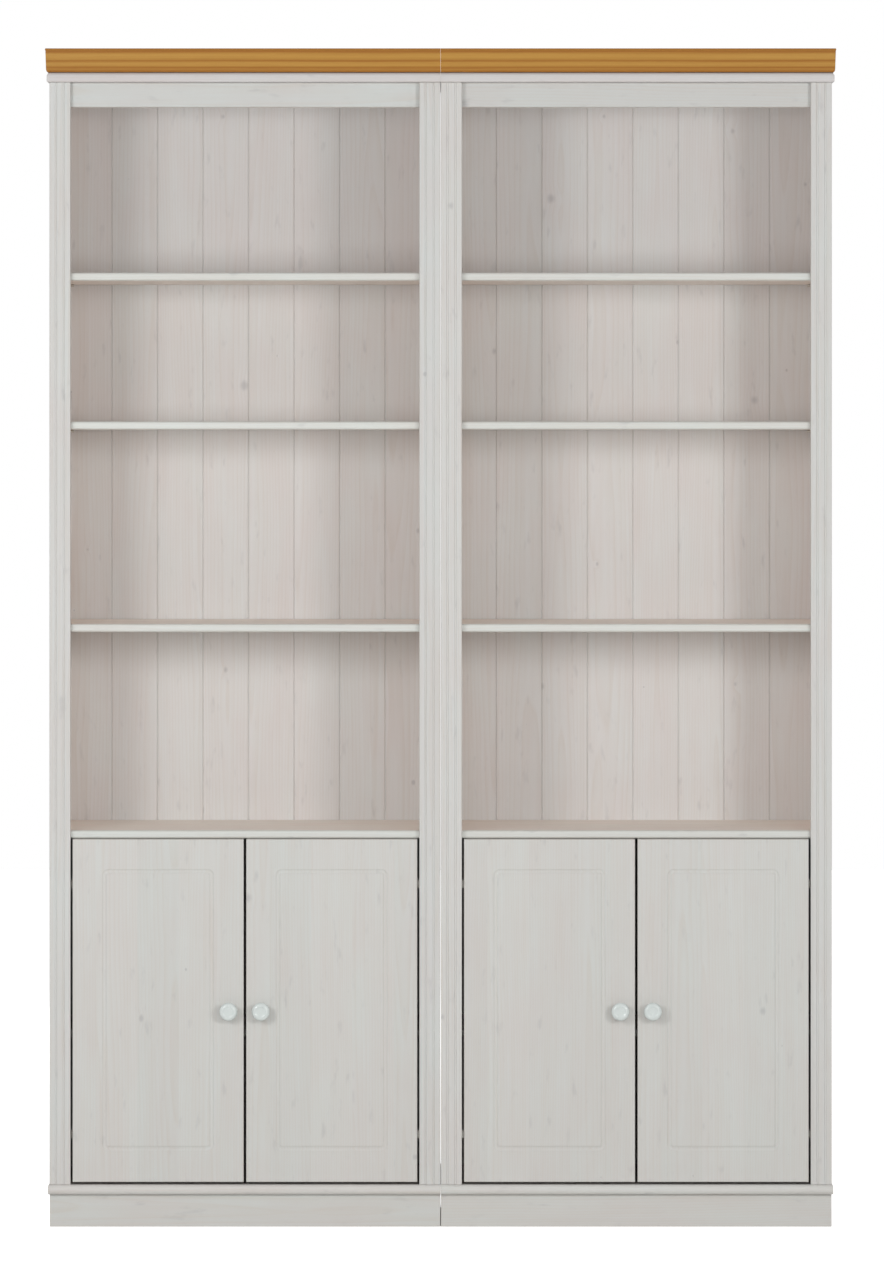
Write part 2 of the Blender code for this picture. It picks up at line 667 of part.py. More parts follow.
def neck_path():
    """The middle of the arm's neck from the pivot: out of the cup, then round the door's edge."""
    rise = (-NECK_RISE * math.cos(NECK_RISE_ANGLE), NECK_RISE * math.sin(NECK_RISE_ANGLE))
    start = 180 - math.degrees(NECK_START_ANGLE)
    end = 180 - math.degrees(NECK_END_ANGLE)
    bend = arc_points((0, 0), (NECK_RADIUS, NECK_RADIUS), start, end, NECK_STEPS)
    channel_middle = SIDE_FROM_PIVOT - FIT_GAP - PLATE_THICK - CHANNEL_THICK / 2
    return [(0, 0), rise, *bend, (channel_middle, bend[-1][1])]


def strap_outline(path, thick):
    """The outline of a flat strap of even thickness along a path."""
    left, right = [], []
    for count, (x, y) in enumerate(path):
        before = path[max(count - 1, 0)]
        after = path[min(count + 1, len(path) - 1)]
        run = math.dist(before, after)
        across = (-(after[1] - before[1]) / run * thick / 2, (after[0] - before[0]) / run * thick / 2)
        left.append((x + across[0], y + across[1]))
        right.append((x - across[0], y - across[1]))
    return left + right[::-1]


def arm_mesh(name):
    """A hinge arm about its pivot, +X towards the side panel: eye, neck, channel and plate."""
    path = neck_path()
    neck_end = path[-1][1] - ARM_THICK / 2
    neck = outline_mesh(name, strap_outline(path, ARM_THICK), ARM_HEIGHT)
    arm = add_piece(name, neck, Matrix.Identity(4), "nickel_plated_steel")
    eye = drum_mesh(f"{name}_eye", EYE_RADIUS, ARM_HEIGHT, EYE_SIDES)
    add_operand(arm, eye, Matrix.Identity(4), "UNION")
    plate_back = SIDE_FROM_PIVOT - FIT_GAP
    plate_front = plate_back - PLATE_THICK
    channel_front = plate_front - CHANNEL_THICK
    channel_size = (CHANNEL_THICK + UNION_OVERLAP, CHANNEL_LENGTH, ARM_HEIGHT)
    channel_x = (channel_front + plate_front + UNION_OVERLAP) / 2
    channel = box_mesh(f"{name}_channel", channel_size)
    channel_place = Matrix.Translation((channel_x, neck_end + CHANNEL_LENGTH / 2, 0))
    add_operand(arm, channel, channel_place, "UNION")
    plate = box_mesh(f"{name}_plate", (PLATE_THICK, PLATE_LENGTH, PLATE_HEIGHT))
    plate_y = neck_end + PLATE_FROM_NECK + PLATE_LENGTH / 2
    plate_place = Matrix.Translation(((plate_front + plate_back) / 2, plate_y, 0))
    add_operand(arm, plate, plate_place, "UNION")
    bore = drum_mesh(f"{name}_bore", EYE_BORE_RADIUS, ARM_HEIGHT + CUT_OVERRUN, EYE_SIDES)
    add_operand(arm, bore, Matrix.Identity(4), "DIFFERENCE")
    return baked_mesh(arm)


def mirrored_copy(mesh):
    """The same mesh mirrored across X, with its faces still pointing out."""
    copy = mesh.copy()
    copy.transform(Matrix.Scale(-1, 4, (1, 0, 0)))
    copy.flip_normals()
    return copy


def hinge_meshes():
    """The cup and arm for hinges on the right of a door, keyed 1, and on the left, keyed -1."""
    cup = cup_mesh("hinge_cup")
    arm = arm_mesh("hinge_arm")
    for mesh in (cup, arm):
        mesh.shade_smooth()
        mesh.set_sharp_from_angle(angle=math.radians(35))
    return {1: (cup, arm), -1: (mirrored_copy(cup), mirrored_copy(arm))}


def carry(axis, piece):
    """Hangs a piece on the empty that marks its door's hinge axis."""
    piece.parent = axis
    piece.matrix_basis = Matrix.Translation(-axis.location) @ piece.matrix_basis


def add_door(unit, which, hand, hinges):
    """A door with its routed line, knob and two hinges. Towards points in x to its hinge side."""
    towards = hand if which == "outer" else -hand
    hinge_edge = hand * (OPEN_END if which == "outer" else OPEN_START) - towards * DOOR_SIDE_GAP
    meeting_edge = hinge_edge - towards * DOOR_WIDTH
    pivot_x = hinge_edge - towards * HINGE_INSET
    middle = ((hinge_edge + meeting_edge) / 2, (DOOR_FACE + DOOR_BACK) / 2, (DOOR_LOW + DOOR_TOP) / 2)
    knob_x = meeting_edge + towards * KNOB_FROM_MEETING_EDGE
    name = f"{unit}_{which}_door"

    axis = bpy.data.objects.new(f"{name}_axis", None)
    PIECES.objects.link(axis)
    axis.location = (pivot_x, PIVOT_Y, DOOR_LOW)

    radii = {(-1, -1, 0): DOOR_ROUND, (1, -1, 0): DOOR_ROUND}
    radii |= {(0, -1, 1): DOOR_ROUND, (0, -1, -1): DOOR_ROUND}
    along = (hand * hinge_edge, hand * meeting_edge)
    deep = (DOOR_FACE, DOOR_BACK)
    door = board(name, hand, sorted(along), deep, (DOOR_LOW, DOOR_TOP), "white_glazed_pine", radii)

    groove = cove_radius(LINE_WIDTH, LINE_DEPTH)
    ring = ring_mesh(f"{name}_line", routed_line_path(), groove, LINE_TUBE_RESOLUTION)
    ring_place = Matrix.Translation((0, LINE_DEPTH - groove - DOOR_THICK / 2, 0)) @ LAID_ALONG_Y
    add_operand(door, ring, ring_place, "DIFFERENCE")

    hinge_heights = (DOOR_LOW + HINGE_FROM_DOOR_END, DOOR_TOP - HINGE_FROM_DOOR_END)
    bore_depth = CUP_DEPTH + FIT_GAP
    bore_length = bore_depth + CUT_OVERRUN
    bore_y = DOOR_THICK / 2 - bore_depth + bore_length / 2
    middles = [(pivot_x - middle[0], z - middle[2], -bore_y) for z in hinge_heights]
    bores = drum_mesh(f"{name}_bores", CUP_RADIUS + FIT_GAP, bore_length, CUP_SIDES, middles)
    add_operand(door, bores, LAID_ALONG_Y, "DIFFERENCE")

    hole_length = DOOR_THICK + 2 * CUT_OVERRUN
    hole = drum_mesh(f"{name}_knob_hole", KNOB_HOLE_RADIUS, hole_length, KNOB_HOLE_SIDES)
    hole_place = Matrix.Translation((knob_x - middle[0], 0, 0)) @ LAID_ALONG_Y
    add_operand(door, hole, hole_place, "DIFFERENCE")

    carry(axis, door)
    carry(axis, add_knob(f"{unit}_{which}_knob", knob_x, middle[2]))
    cup, arm = hinges[towards]
    for level, z in zip(("lower", "upper"), hinge_heights):
        place = Matrix.Translation((pivot_x, PIVOT_Y, z))
        carry(axis, add_piece(f"{name}_{level}_hinge_cup", cup, place, "nickel_plated_steel"))
        add_piece(f"{name}_{level}_hinge_arm", arm, place, "nickel_plated_steel")


def add_unit(unit, hand, hinges):
    """One bookcase."""
    add_plinth(unit, hand)
    add_bottom_and_top(unit, hand)
    for side in ("inner", "outer"):
        add_side(unit, side, hand)
    add_stiles(unit, hand)
    add_back(unit, hand)
    add_shelves(unit, hand)
    add_crown(unit, hand)
    for which in ("inner", "outer"):
        add_door(unit, which, hand, hinges)


clear_scene()
PIECES = new_collection("wall_unit")
CUTTERS = new_collection("wall_unit_cutters")
HINGES = hinge_meshes()
add_unit("left", -1, HINGES)
add_unit("right", 1, HINGES)
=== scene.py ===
# %% [markdown]
# # A wall unit in white glazed pine
# Two tall bookcases stand side by side: open shelves above, a cupboard with two doors below,
# and a honey-coloured crown along the top. The boards are pine, the knobs are lacquered wood,
# and the hinges, shelf pins and screws are nickel-plated steel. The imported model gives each
# board its place. This script gives each board its moulded and sanded edges, its grain and its
# glaze, one cell at a time.

# %% Load the fixed frame
import math
import random

import bmesh
import bpy
from mathutils import Euler, Matrix, Vector


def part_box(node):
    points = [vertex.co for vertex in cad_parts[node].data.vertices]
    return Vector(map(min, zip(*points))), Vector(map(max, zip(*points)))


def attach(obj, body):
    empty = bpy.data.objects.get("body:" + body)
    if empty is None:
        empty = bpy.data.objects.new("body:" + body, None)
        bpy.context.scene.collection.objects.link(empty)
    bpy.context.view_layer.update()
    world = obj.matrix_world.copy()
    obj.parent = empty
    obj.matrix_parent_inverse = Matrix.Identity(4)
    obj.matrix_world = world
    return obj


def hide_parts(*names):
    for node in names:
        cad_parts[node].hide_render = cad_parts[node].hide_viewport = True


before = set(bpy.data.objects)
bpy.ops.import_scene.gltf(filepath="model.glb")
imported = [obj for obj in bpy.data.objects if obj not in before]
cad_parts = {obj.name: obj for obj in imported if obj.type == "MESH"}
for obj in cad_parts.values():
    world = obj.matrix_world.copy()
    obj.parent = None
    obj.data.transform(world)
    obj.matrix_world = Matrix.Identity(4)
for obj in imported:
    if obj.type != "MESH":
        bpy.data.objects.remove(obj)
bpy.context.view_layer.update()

UNITS = (("left", -1), ("right", 1))

# %% [markdown]
# ## Small helpers for node trees
# Shader trees and geometry trees are built the same way: add a node, set it, join it up.
# One function does that for every kind of node, so each tree below reads as a list of steps.
# Colours are written as the hex values that a paint program shows, and turned linear here.

# %% Node and colour helpers


def linear(hex_colour):
    """An sRGB hex value as the linear colour that a socket takes."""
    parts = [int(hex_colour[start : start + 2], 16) / 255 for start in (0, 2, 4)]
    return (*[part / 12.92 if part <= 0.04045 else ((part + 0.055) / 1.055) ** 2.4 for part in parts], 1)


def add_node(tree, kind, inputs, out=0, **settings):
    """Adds a node and gives one of its outputs, or all of them where out is None.

    Each input is a value, a socket to join, or a list of sockets to join.
    """
    made = tree.nodes.new(kind)
    for setting, value in settings.items():
        setattr(made, setting, value)
    for key, value in inputs.items():
        if isinstance(value, (bpy.types.NodeSocket, list)):
            for source in value if isinstance(value, list) else [value]:
                tree.links.new(source, made.inputs[key])
        else:
            made.inputs[key].default_value = value
    return made.outputs if out is None else made.outputs[out]


def new_tree(name, kind, takes, gives):
    """A node group with named inputs and outputs, each a (name, socket kind) pair."""
    tree = bpy.data.node_groups.new(name, kind)
    for in_out, sockets in (("INPUT", takes), ("OUTPUT", gives)):
        for label, socket_kind in sockets:
            tree.interface.new_socket(label, in_out=in_out, socket_type=f"NodeSocket{socket_kind}")
    return tree, tree.nodes.new("NodeGroupInput").outputs, tree.nodes.new("NodeGroupOutput").inputs


def add_object(name, data):
    """An object in the scene, for a mesh, a lamp or a camera."""
    made = bpy.data.objects.new(name, data)
    bpy.context.scene.collection.objects.link(made)
    return made


print("mid grey 808080 is", round(linear("808080")[0], 3), "in linear light")

# %% [markdown]
# ## Camera
# The photograph was taken from far away with a long lens, so the boards hardly converge. The
# undersides and tops of the shelves tell how high the camera stood: 1.37 m from the floor.
# It looks straight ahead, and the lens shift slides the frame down to the unit, which keeps
# the uprights parallel.

# %% Camera
CAMERA_PLACE = (0.0024, -11.25, 1.374)
camera = add_object("camera", bpy.data.cameras.new("camera"))
camera.data.lens = 180.23
camera.data.sensor_width = 36
camera.data.shift_y = -0.1566
camera.location = CAMERA_PLACE
camera.rotation_euler = (math.radians(90), 0, 0)
bpy.context.scene.camera = camera
bpy.context.scene.view_settings.view_transform = "Standard"
print("camera height:", CAMERA_PLACE[2], "m, lens:", round(camera.data.lens), "mm")

# %% [markdown]
# ## Softboxes in a pale studio
# The soft shadows that the sides throw on the back show two softboxes, one on the left at
# three metres and one further off on the right, both at about three quarters of the unit's
# height. A wide one in front and a dim surrounding fill the rest, and one behind the unit
# lights its back for views from there. The background is white only for what the camera, a
# gloss or a glass sees, so it adds no light.

# %% Lamps
SOFTBOXES = (
    # x, distance in front, height of the middle, width, height, watts, whether glosses show it
    (-1.74, 3.0, 1.53, 0.78, 1.0, 32.3, True),
    (2.28, 4.2, 1.54, 0.78, 1.1, 51.8, True),
    (0.3, 4.6, 1.8, 2.4, 1.2, 25.0, False),
    (-0.8, -4.4, 2.0, 2.0, 1.6, 50.0, False),
)
FRONT_PLANE = -0.15
LAMPS_FACE = Vector((0, 0, 1.15))
AMBIENT = 0.37
for count, (x, distance, middle_height, width, height, watts, glossy) in enumerate(SOFTBOXES):
    lamp = bpy.data.lights.new(f"softbox_{count}", "AREA")
    lamp.shape = "RECTANGLE"
    lamp.size, lamp.size_y, lamp.energy = width, height, watts
    holder = add_object(lamp.name, lamp)
    holder.location = (x, FRONT_PLANE - distance, middle_height)
    holder.rotation_euler = (LAMPS_FACE - holder.location).to_track_quat("-Z", "Y").to_euler()
    holder.visible_glossy = glossy
    holder.visible_camera = False


def seen_directly(tree):
    """1 for camera, glossy and transmission rays, 0 for the rays that carry light."""
    rays = add_node(tree, "ShaderNodeLightPath", {}, None)
    seen = rays["Is Camera Ray"]
    for other in ("Is Glossy Ray", "Is Transmission Ray"):
        seen = add_node(tree, "ShaderNodeMath", {0: seen, 1: rays[other]}, operation="MAXIMUM")
    return seen


world = bpy.data.worlds.new("studio")
bpy.context.scene.world = world
world.use_nodes = True
sky = world.node_tree
strength = {"Value": seen_directly(sky), "To Min": AMBIENT, "To Max": 1.0}
strength = add_node(sky, "ShaderNodeMapRange", strength)
sky.links.new(strength, sky.nodes["Background"].inputs["Strength"])
sky.nodes["Background"].inputs["Color"].default_value = linear("FFFFFF")
print("softboxes:", len(SOFTBOXES), "surrounding:", AMBIENT)

# %% [markdown]
# ## Floor
# A pale floor catches the soft shadow of the plinth. Part of its brightness is only for the
# camera, so it runs into the white background without lighting the doors from below. Under
# the unit that part fades out, because no studio light reaches the floor there, and the slot
# between the two plinths then looks dark near the floor.

# %% Floor
FLOOR_REACH = 9.0
SHADED_HALF = (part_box("right_plinth_front")[1].x, -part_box("right_plinth_front")[0].y, 0)
SHADE_EDGE, OPEN_GLOW = 0.02, 0.86


def inside_by(tree, half_size, point):
    """How far a point lies inside a box round zero, along X, Y and Z."""
    mirrored = add_node(tree, "ShaderNodeVectorMath", {0: point}, operation="ABSOLUTE")
    inward = add_node(tree, "ShaderNodeVectorMath", {0: half_size, 1: mirrored}, operation="SUBTRACT")
    return add_node(tree, "ShaderNodeSeparateXYZ", {0: inward}, None)


floor_shape = bmesh.new()
bmesh.ops.create_grid(floor_shape, x_segments=6, y_segments=6, size=FLOOR_REACH)
floor_mesh = bpy.data.meshes.new("studio_floor")
floor_shape.to_mesh(floor_mesh)
floor_shape.free()
floor = add_object("studio_floor", floor_mesh)
painted = bpy.data.materials.new("pale_studio_floor")
painted.use_nodes = True
tree = painted.node_tree
inward = inside_by(tree, SHADED_HALF, add_node(tree, "ShaderNodeTexCoord", {}, "Object"))
least = add_node(tree, "ShaderNodeMath", {0: inward[0], 1: inward[1]}, operation="MINIMUM")
open_floor = {"Value": least, "From Min": 0.0, "From Max": SHADE_EDGE, "To Min": OPEN_GLOW, "To Max": 0.0}
open_floor = add_node(tree, "ShaderNodeMapRange", open_floor, interpolation_type="SMOOTHSTEP")
glow = add_node(tree, "ShaderNodeMath", {0: seen_directly(tree), 1: open_floor}, operation="MULTIPLY")
surface = tree.nodes["Principled BSDF"].inputs
surface["Base Color"].default_value = linear("DEDEDC")
surface["Roughness"].default_value = 0.9
surface["Emission Color"].default_value = linear("FFFFFF")
tree.links.new(glow, surface["Emission Strength"])
floor_mesh.materials.append(painted)
print("floor:", 2 * FLOOR_REACH, "m square")

# %% [markdown]
# ## The figure of pine
# A pine board shows pale early wood and darker late wood in turn. Cut flat, the rings run
# along the board as stripes that widen into tall arches, and round a knot they bend aside.
# The group below works out that figure from a point in metres, with Z along the grain, X
# across the board and Y into it. It measures how far the point is from the tree's pith and
# lets slow noise push the distance about, which bends the rings. Boards that are glued up
# from staves get another pith for each stave, so the figure jumps at every glue line.

# %% Node group: pine figure
STREAK_SIZE = (0.008, 0.008, 0.23)
FIBRE_SIZE = (0.0011, 0.0011, 0.034)
BEND_SIZE = (0.075, 0.075, 0.52)
CLOUD_SIZE = (0.055, 0.055, 0.16)
SMUDGE_SIZE = (0.013, 0.013, 0.042)
BEND_REACH, RIPPLE = 0.011, 0.0016
PITH_ACROSS, PITH_BELOW, PITH_LEAN = 0.05, (0.012, 0.07), 0.012
KNOT_SPACING, KNOT_RADIUS, KNOT_BEND = 0.21, 0.0062, 0.0022
LARGEST_KNOT = KNOT_RADIUS / KNOT_SPACING
KNOT_FUZZ = LARGEST_KNOT * 1.6
WORN_RIM, WEAR_WANDER = (0.0012, 0.0036), 0.003
STAVE_STEP = 3.71
LATE_WOOD = (
    # share of the way through a ring, how dark the wood is there
    (0.0, 0.0), (0.45, 0.14), (0.78, 0.62), (0.90, 1.0), (1.0, 0.0),
)


def stretched(tree, point, size):
    """A point divided by a pattern's size, so that noise of scale 1 comes out that size."""
    stretch = tuple(1 / side for side in size)
    return add_node(tree, "ShaderNodeVectorMath", {0: point, 1: stretch}, operation="MULTIPLY")


def grey_ramp(tree, value, stops):
    """A colour ramp of greys. The first stop is at 0 and the last at 1."""
    made = add_node(tree, "ShaderNodeValToRGB", {0: value})
    elements = made.node.color_ramp.elements
    for count, (_, grey) in enumerate((stops[0], stops[-1])):
        elements[count].color = (grey, grey, grey, 1)
    for share, grey in stops[1:-1]:
        elements.new(share).color = (grey, grey, grey, 1)
    return made


figure, given, gives = new_tree(
    "pine_figure",
    "ShaderNodeTree",
    [("Point", "Vector"), ("Half size", "Vector"), ("Stave width", "Float"), ("Ring gap", "Float"),
     ("Seed", "Float")],
    [(label, "Float")
     for label in ("Ring", "Streak", "Fibre", "Knot", "Smudge", "Tone", "Tint", "Cloud", "Edge")],
)
place = add_node(figure, "ShaderNodeSeparateXYZ", {0: given["Point"]}, None)
share = add_node(figure, "ShaderNodeMath", {0: place[0], 1: given["Stave width"]}, operation="DIVIDE")
stave = add_node(figure, "ShaderNodeMath", {0: share}, operation="ROUND")
middle = add_node(figure, "ShaderNodeMath", {0: stave, 1: given["Stave width"]}, operation="MULTIPLY")
across = add_node(figure, "ShaderNodeMath", {0: place[0], 1: middle}, operation="SUBTRACT")
stave_key = add_node(figure, "ShaderNodeCombineXYZ", {0: stave, 1: given["Seed"]})
lots = add_node(figure, "ShaderNodeTexWhiteNoise", {0: stave_key}, None, noise_dimensions="2D")
lot = add_node(figure, "ShaderNodeSeparateXYZ", {0: lots["Color"]}, None)
shift = {0: stave, 1: STAVE_STEP, 2: given["Seed"]}
shift = add_node(figure, "ShaderNodeMath", shift, operation="MULTIPLY_ADD")
drawn = add_node(figure, "ShaderNodeCombineXYZ", {0: across, 1: place[1], 2: place[2]})


def figure_noise(size, detail, rough):
    """Noise stretched along the grain, with its own start on every board and stave."""
    noise = {"Vector": stretched(figure, drawn, size), "W": shift, "Scale": 1, "Detail": detail,
             "Roughness": rough}
    return add_node(figure, "ShaderNodeTexNoise", noise, "Fac", noise_dimensions="4D")


streak = figure_noise(STREAK_SIZE, 3, 0.6)
fibre = figure_noise(FIBRE_SIZE, 2, 0.6)
bend = figure_noise(BEND_SIZE, 2, 0.45)
cloud = figure_noise(CLOUD_SIZE, 2, 0.5)
smudge = {"Value": figure_noise(SMUDGE_SIZE, 2, 0.55), "From Min": 0.60, "From Max": 0.80}
smudge = add_node(figure, "ShaderNodeMapRange", smudge, interpolation_type="SMOOTHSTEP")

# Knots: one cell of a flat cell pattern in two holds a knot, and its edge is frayed by streaks.
cells = {0: drawn, 1: (1 / KNOT_SPACING, 0, 0.8 / KNOT_SPACING)}
cells = add_node(figure, "ShaderNodeVectorMath", cells, operation="MULTIPLY")
moved = add_node(figure, "ShaderNodeCombineXYZ", {0: shift, 2: shift})
cells = add_node(figure, "ShaderNodeVectorMath", {0: cells, 1: moved}, operation="ADD")
cells = add_node(figure, "ShaderNodeSeparateXYZ", {0: cells}, None)
flat = add_node(figure, "ShaderNodeCombineXYZ", {0: cells[0], 1: cells[2]})
cell = add_node(figure, "ShaderNodeTexVoronoi", {"Vector": flat, "Scale": 1}, None, voronoi_dimensions="2D")
chance = add_node(figure, "ShaderNodeSeparateXYZ", {0: cell["Color"]})
rim = {"Value": chance, "From Min": 0.5, "From Max": 1.0, "To Min": 0.0001, "To Max": LARGEST_KNOT}
rim = add_node(figure, "ShaderNodeMapRange", rim)
frayed = {0: streak, 1: KNOT_FUZZ, 2: cell["Distance"]}
frayed = add_node(figure, "ShaderNodeMath", frayed, operation="MULTIPLY_ADD")
near = add_node(figure, "ShaderNodeMath", {0: frayed, 1: KNOT_FUZZ / 2}, operation="SUBTRACT")
ratio = add_node(figure, "ShaderNodeMath", {0: near, 1: rim}, operation="DIVIDE")
knot = {"Value": ratio, "From Min": 0.2, "From Max": 1.5, "To Min": 1.0, "To Max": 0.0}
knot = add_node(figure, "ShaderNodeMapRange", knot, interpolation_type="SMOOTHSTEP")
halo = {"Value": ratio, "From Min": 0.8, "From Max": 4.5, "To Min": KNOT_BEND, "To Max": 0.0}
halo = add_node(figure, "ShaderNodeMapRange", halo, interpolation_type="SMOOTHSTEP")

# Rings: the distance to the pith, bent by noise and by the knots, counted in ring gaps.
pith_across = {"Value": lot[0], "To Min": -PITH_ACROSS, "To Max": PITH_ACROSS}
pith_across = add_node(figure, "ShaderNodeMapRange", pith_across)
pith_below = {"Value": lot[1], "To Min": PITH_BELOW[0], "To Max": PITH_BELOW[1]}
pith_below = add_node(figure, "ShaderNodeMapRange", pith_below)
leaning = add_node(figure, "ShaderNodeMapRange", {"Value": lot[2], "To Min": -PITH_LEAN, "To Max": PITH_LEAN})
from_pith = add_node(figure, "ShaderNodeMath", {0: across, 1: pith_across}, operation="SUBTRACT")
depth = add_node(figure, "ShaderNodeMath", {0: place[1], 1: pith_below}, operation="ADD")
flat = add_node(figure, "ShaderNodeCombineXYZ", {0: from_pith, 1: depth})
radius = add_node(figure, "ShaderNodeVectorMath", {0: flat}, "Value", operation="LENGTH")
for moving, reach in ((bend, 2 * BEND_REACH), (place[2], leaning)):
    radius = add_node(figure, "ShaderNodeMath", {0: moving, 1: reach, 2: radius}, operation="MULTIPLY_ADD")
radius = add_node(figure, "ShaderNodeMath", {0: radius, 1: halo}, operation="ADD")
radius = add_node(figure, "ShaderNodeMath", {0: streak, 1: RIPPLE, 2: radius}, operation="MULTIPLY_ADD")
rings = add_node(figure, "ShaderNodeMath", {0: radius, 1: given["Ring gap"]}, operation="DIVIDE")
phase = add_node(figure, "ShaderNodeMath", {0: rings}, operation="FRACT")
ring = grey_ramp(figure, phase, LATE_WOOD)

# Edges: near an edge of the board two of the three distances to its faces are small.
side = inside_by(figure, given["Half size"], given["Point"])
least = add_node(figure, "ShaderNodeMath", {0: side[0], 1: side[1]}, operation="MINIMUM")
most = add_node(figure, "ShaderNodeMath", {0: side[0], 1: side[1]}, operation="MAXIMUM")
second = add_node(figure, "ShaderNodeMath", {0: most, 1: side[2]}, operation="MINIMUM")
nearest = add_node(figure, "ShaderNodeMath", {0: least, 1: second}, operation="MAXIMUM")
worn = add_node(figure, "ShaderNodeMath", {0: cloud, 1: WEAR_WANDER, 2: nearest}, operation="MULTIPLY_ADD")
edge = {"Value": worn, "From Min": WORN_RIM[0], "From Max": WORN_RIM[1], "To Min": 1.0, "To Max": 0.0}
edge = add_node(figure, "ShaderNodeMapRange", edge, interpolation_type="SMOOTHSTEP")
for label, socket in (
    ("Ring", ring), ("Streak", streak), ("Fibre", fibre), ("Knot", knot), ("Smudge", smudge),
    ("Tone", lot[2]), ("Tint", lots["Value"]), ("Cloud", cloud), ("Edge", edge),
):
    figure.links.new(socket, gives[label])
print("pine figure:", len(figure.nodes), "nodes")

# %% [markdown]
# ## Turning the figure to each board
# The figure is always worked out with Z along the grain. A Mapping node centres it on the
# board and turns it, so that the grain runs along an upright, along a shelf or from front to
# back. Each board draws its own seed from its name, so no two boards are alike and every run
# gives the same boards.

# %% Grain directions
GRAIN_TURNS = {
    # grain axis, thickness axis: the turn that brings them to Z and Y
    "ZY": (0, 0, 0),
    "ZX": (0, 0, 90),
    "XY": (0, -90, 0),
    "XZ": (90, -90, 0),
    "YX": (90, 0, 90),
}
SEED_REACH = 40
# A stave width that no board reaches, so that the whole board is one stave.
SINGLE_BOARD = 10.0


def figure_on_board(tree, node, grain, stave_width, ring_gap, first_joint=None):
    """Adds the pine figure, centred on a CAD node and turned to its grain. Gives its outputs."""
    low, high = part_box(node)
    middle = (low + high) / 2
    if first_joint is not None:
        middle.x = first_joint
    turn = Euler([math.radians(angle) for angle in GRAIN_TURNS[grain]])
    centred = -(turn.to_matrix() @ middle)
    half = turn.to_matrix() @ (high - low) / 2
    coordinates = add_node(tree, "ShaderNodeTexCoord", {}, "Object")
    mapping = {"Vector": coordinates, "Location": tuple(centred), "Rotation": tuple(turn)}
    takes = {
        "Point": add_node(tree, "ShaderNodeMapping", mapping),
        "Half size": tuple(abs(side) for side in half),
        "Stave width": stave_width,
        "Ring gap": ring_gap,
        "Seed": random.Random(node).uniform(0, SEED_REACH),
    }
    return add_node(tree, "ShaderNodeGroup", takes, None, node_tree=figure)


print("grain directions:", ", ".join(GRAIN_TURNS))

# %% [markdown]
# ## What the materials share
# Both pines add up the same parts of the figure, only with other weights: rings, streaks,
# fibres, bare edges. And every material ends alike, with a colour, a roughness and a bump
# that follow a pattern, while whatever is the same all over is set on the surface itself.

# %% Layers and surfaces


def new_material(name):
    """A material and its node tree."""
    material = bpy.data.materials.new(name)
    material.use_nodes = True
    return material, material.node_tree


def layered(tree, base, wood, weights, **settings):
    """Adds parts of the figure to a base value, each times its weight."""
    for label, weight in weights.items():
        step = {0: wood[label], 1: weight, 2: base}
        base = add_node(tree, "ShaderNodeMath", step, operation="MULTIPLY_ADD", **settings)
    return base


def join_surface(material, colour, roughness, height, relief, fixed):
    """Joins the patterns to a surface. Relief is the bump's strength and depth in metres."""
    tree = material.node_tree
    surface = tree.nodes["Principled BSDF"].inputs
    bump = {"Strength": relief[0], "Distance": relief[1], "Height": height}
    bump = add_node(tree, "ShaderNodeBump", bump)
    for label, socket in (("Base Color", colour), ("Roughness", roughness), ("Normal", bump)):
        tree.links.new(socket, surface[label])
    for label, value in fixed.items():
        surface[label].default_value = value
    return material


helpers = (new_material, layered, join_surface)
print("helpers:", ", ".join(helper.__name__ for helper in helpers))

# %% [markdown]
# ## White glazed pine
# The glaze is a thin white stain under a satin varnish. It hides the yellow of the wood but
# lets the figure through, very faintly, with a pinkish cast where it is thinnest, and small
# knots show as blue-grey smudges. Sanded edges lose a little of it. The material mixes two
# whites along one direction: a cooler one on the fronts, and inside a paler, pinker one that
# paints warm bounce light into the shaded cabinet.

# %% Material: white glazed pine
FRONT_WHITE = "C9CCCB"
# Paler and pinker than the fronts: this inside white paints warm bounce light into the shaded inside of the
# cabinet.
PAINTED_BOUNCE_INSIDE_WHITE = "F4EDE6"
WOOD_UNDER_GLAZE = "BCA994"
KNOT_UNDER_GLAZE = "9C9B9E"
WARM_TINT, COOL_TINT = (1.016, 0.988, 0.982, 1), (0.986, 1.002, 0.998, 1)
VARNISH_IOR = 1.5
SATIN = {"IOR": VARNISH_IOR, "Coat Weight": 0.3, "Coat Roughness": 0.5}


def fade_behind(y, distances):
    """A change of white along Y between two distances behind a face, or in front if negative."""
    return 1, y + distances[0], y + distances[1]


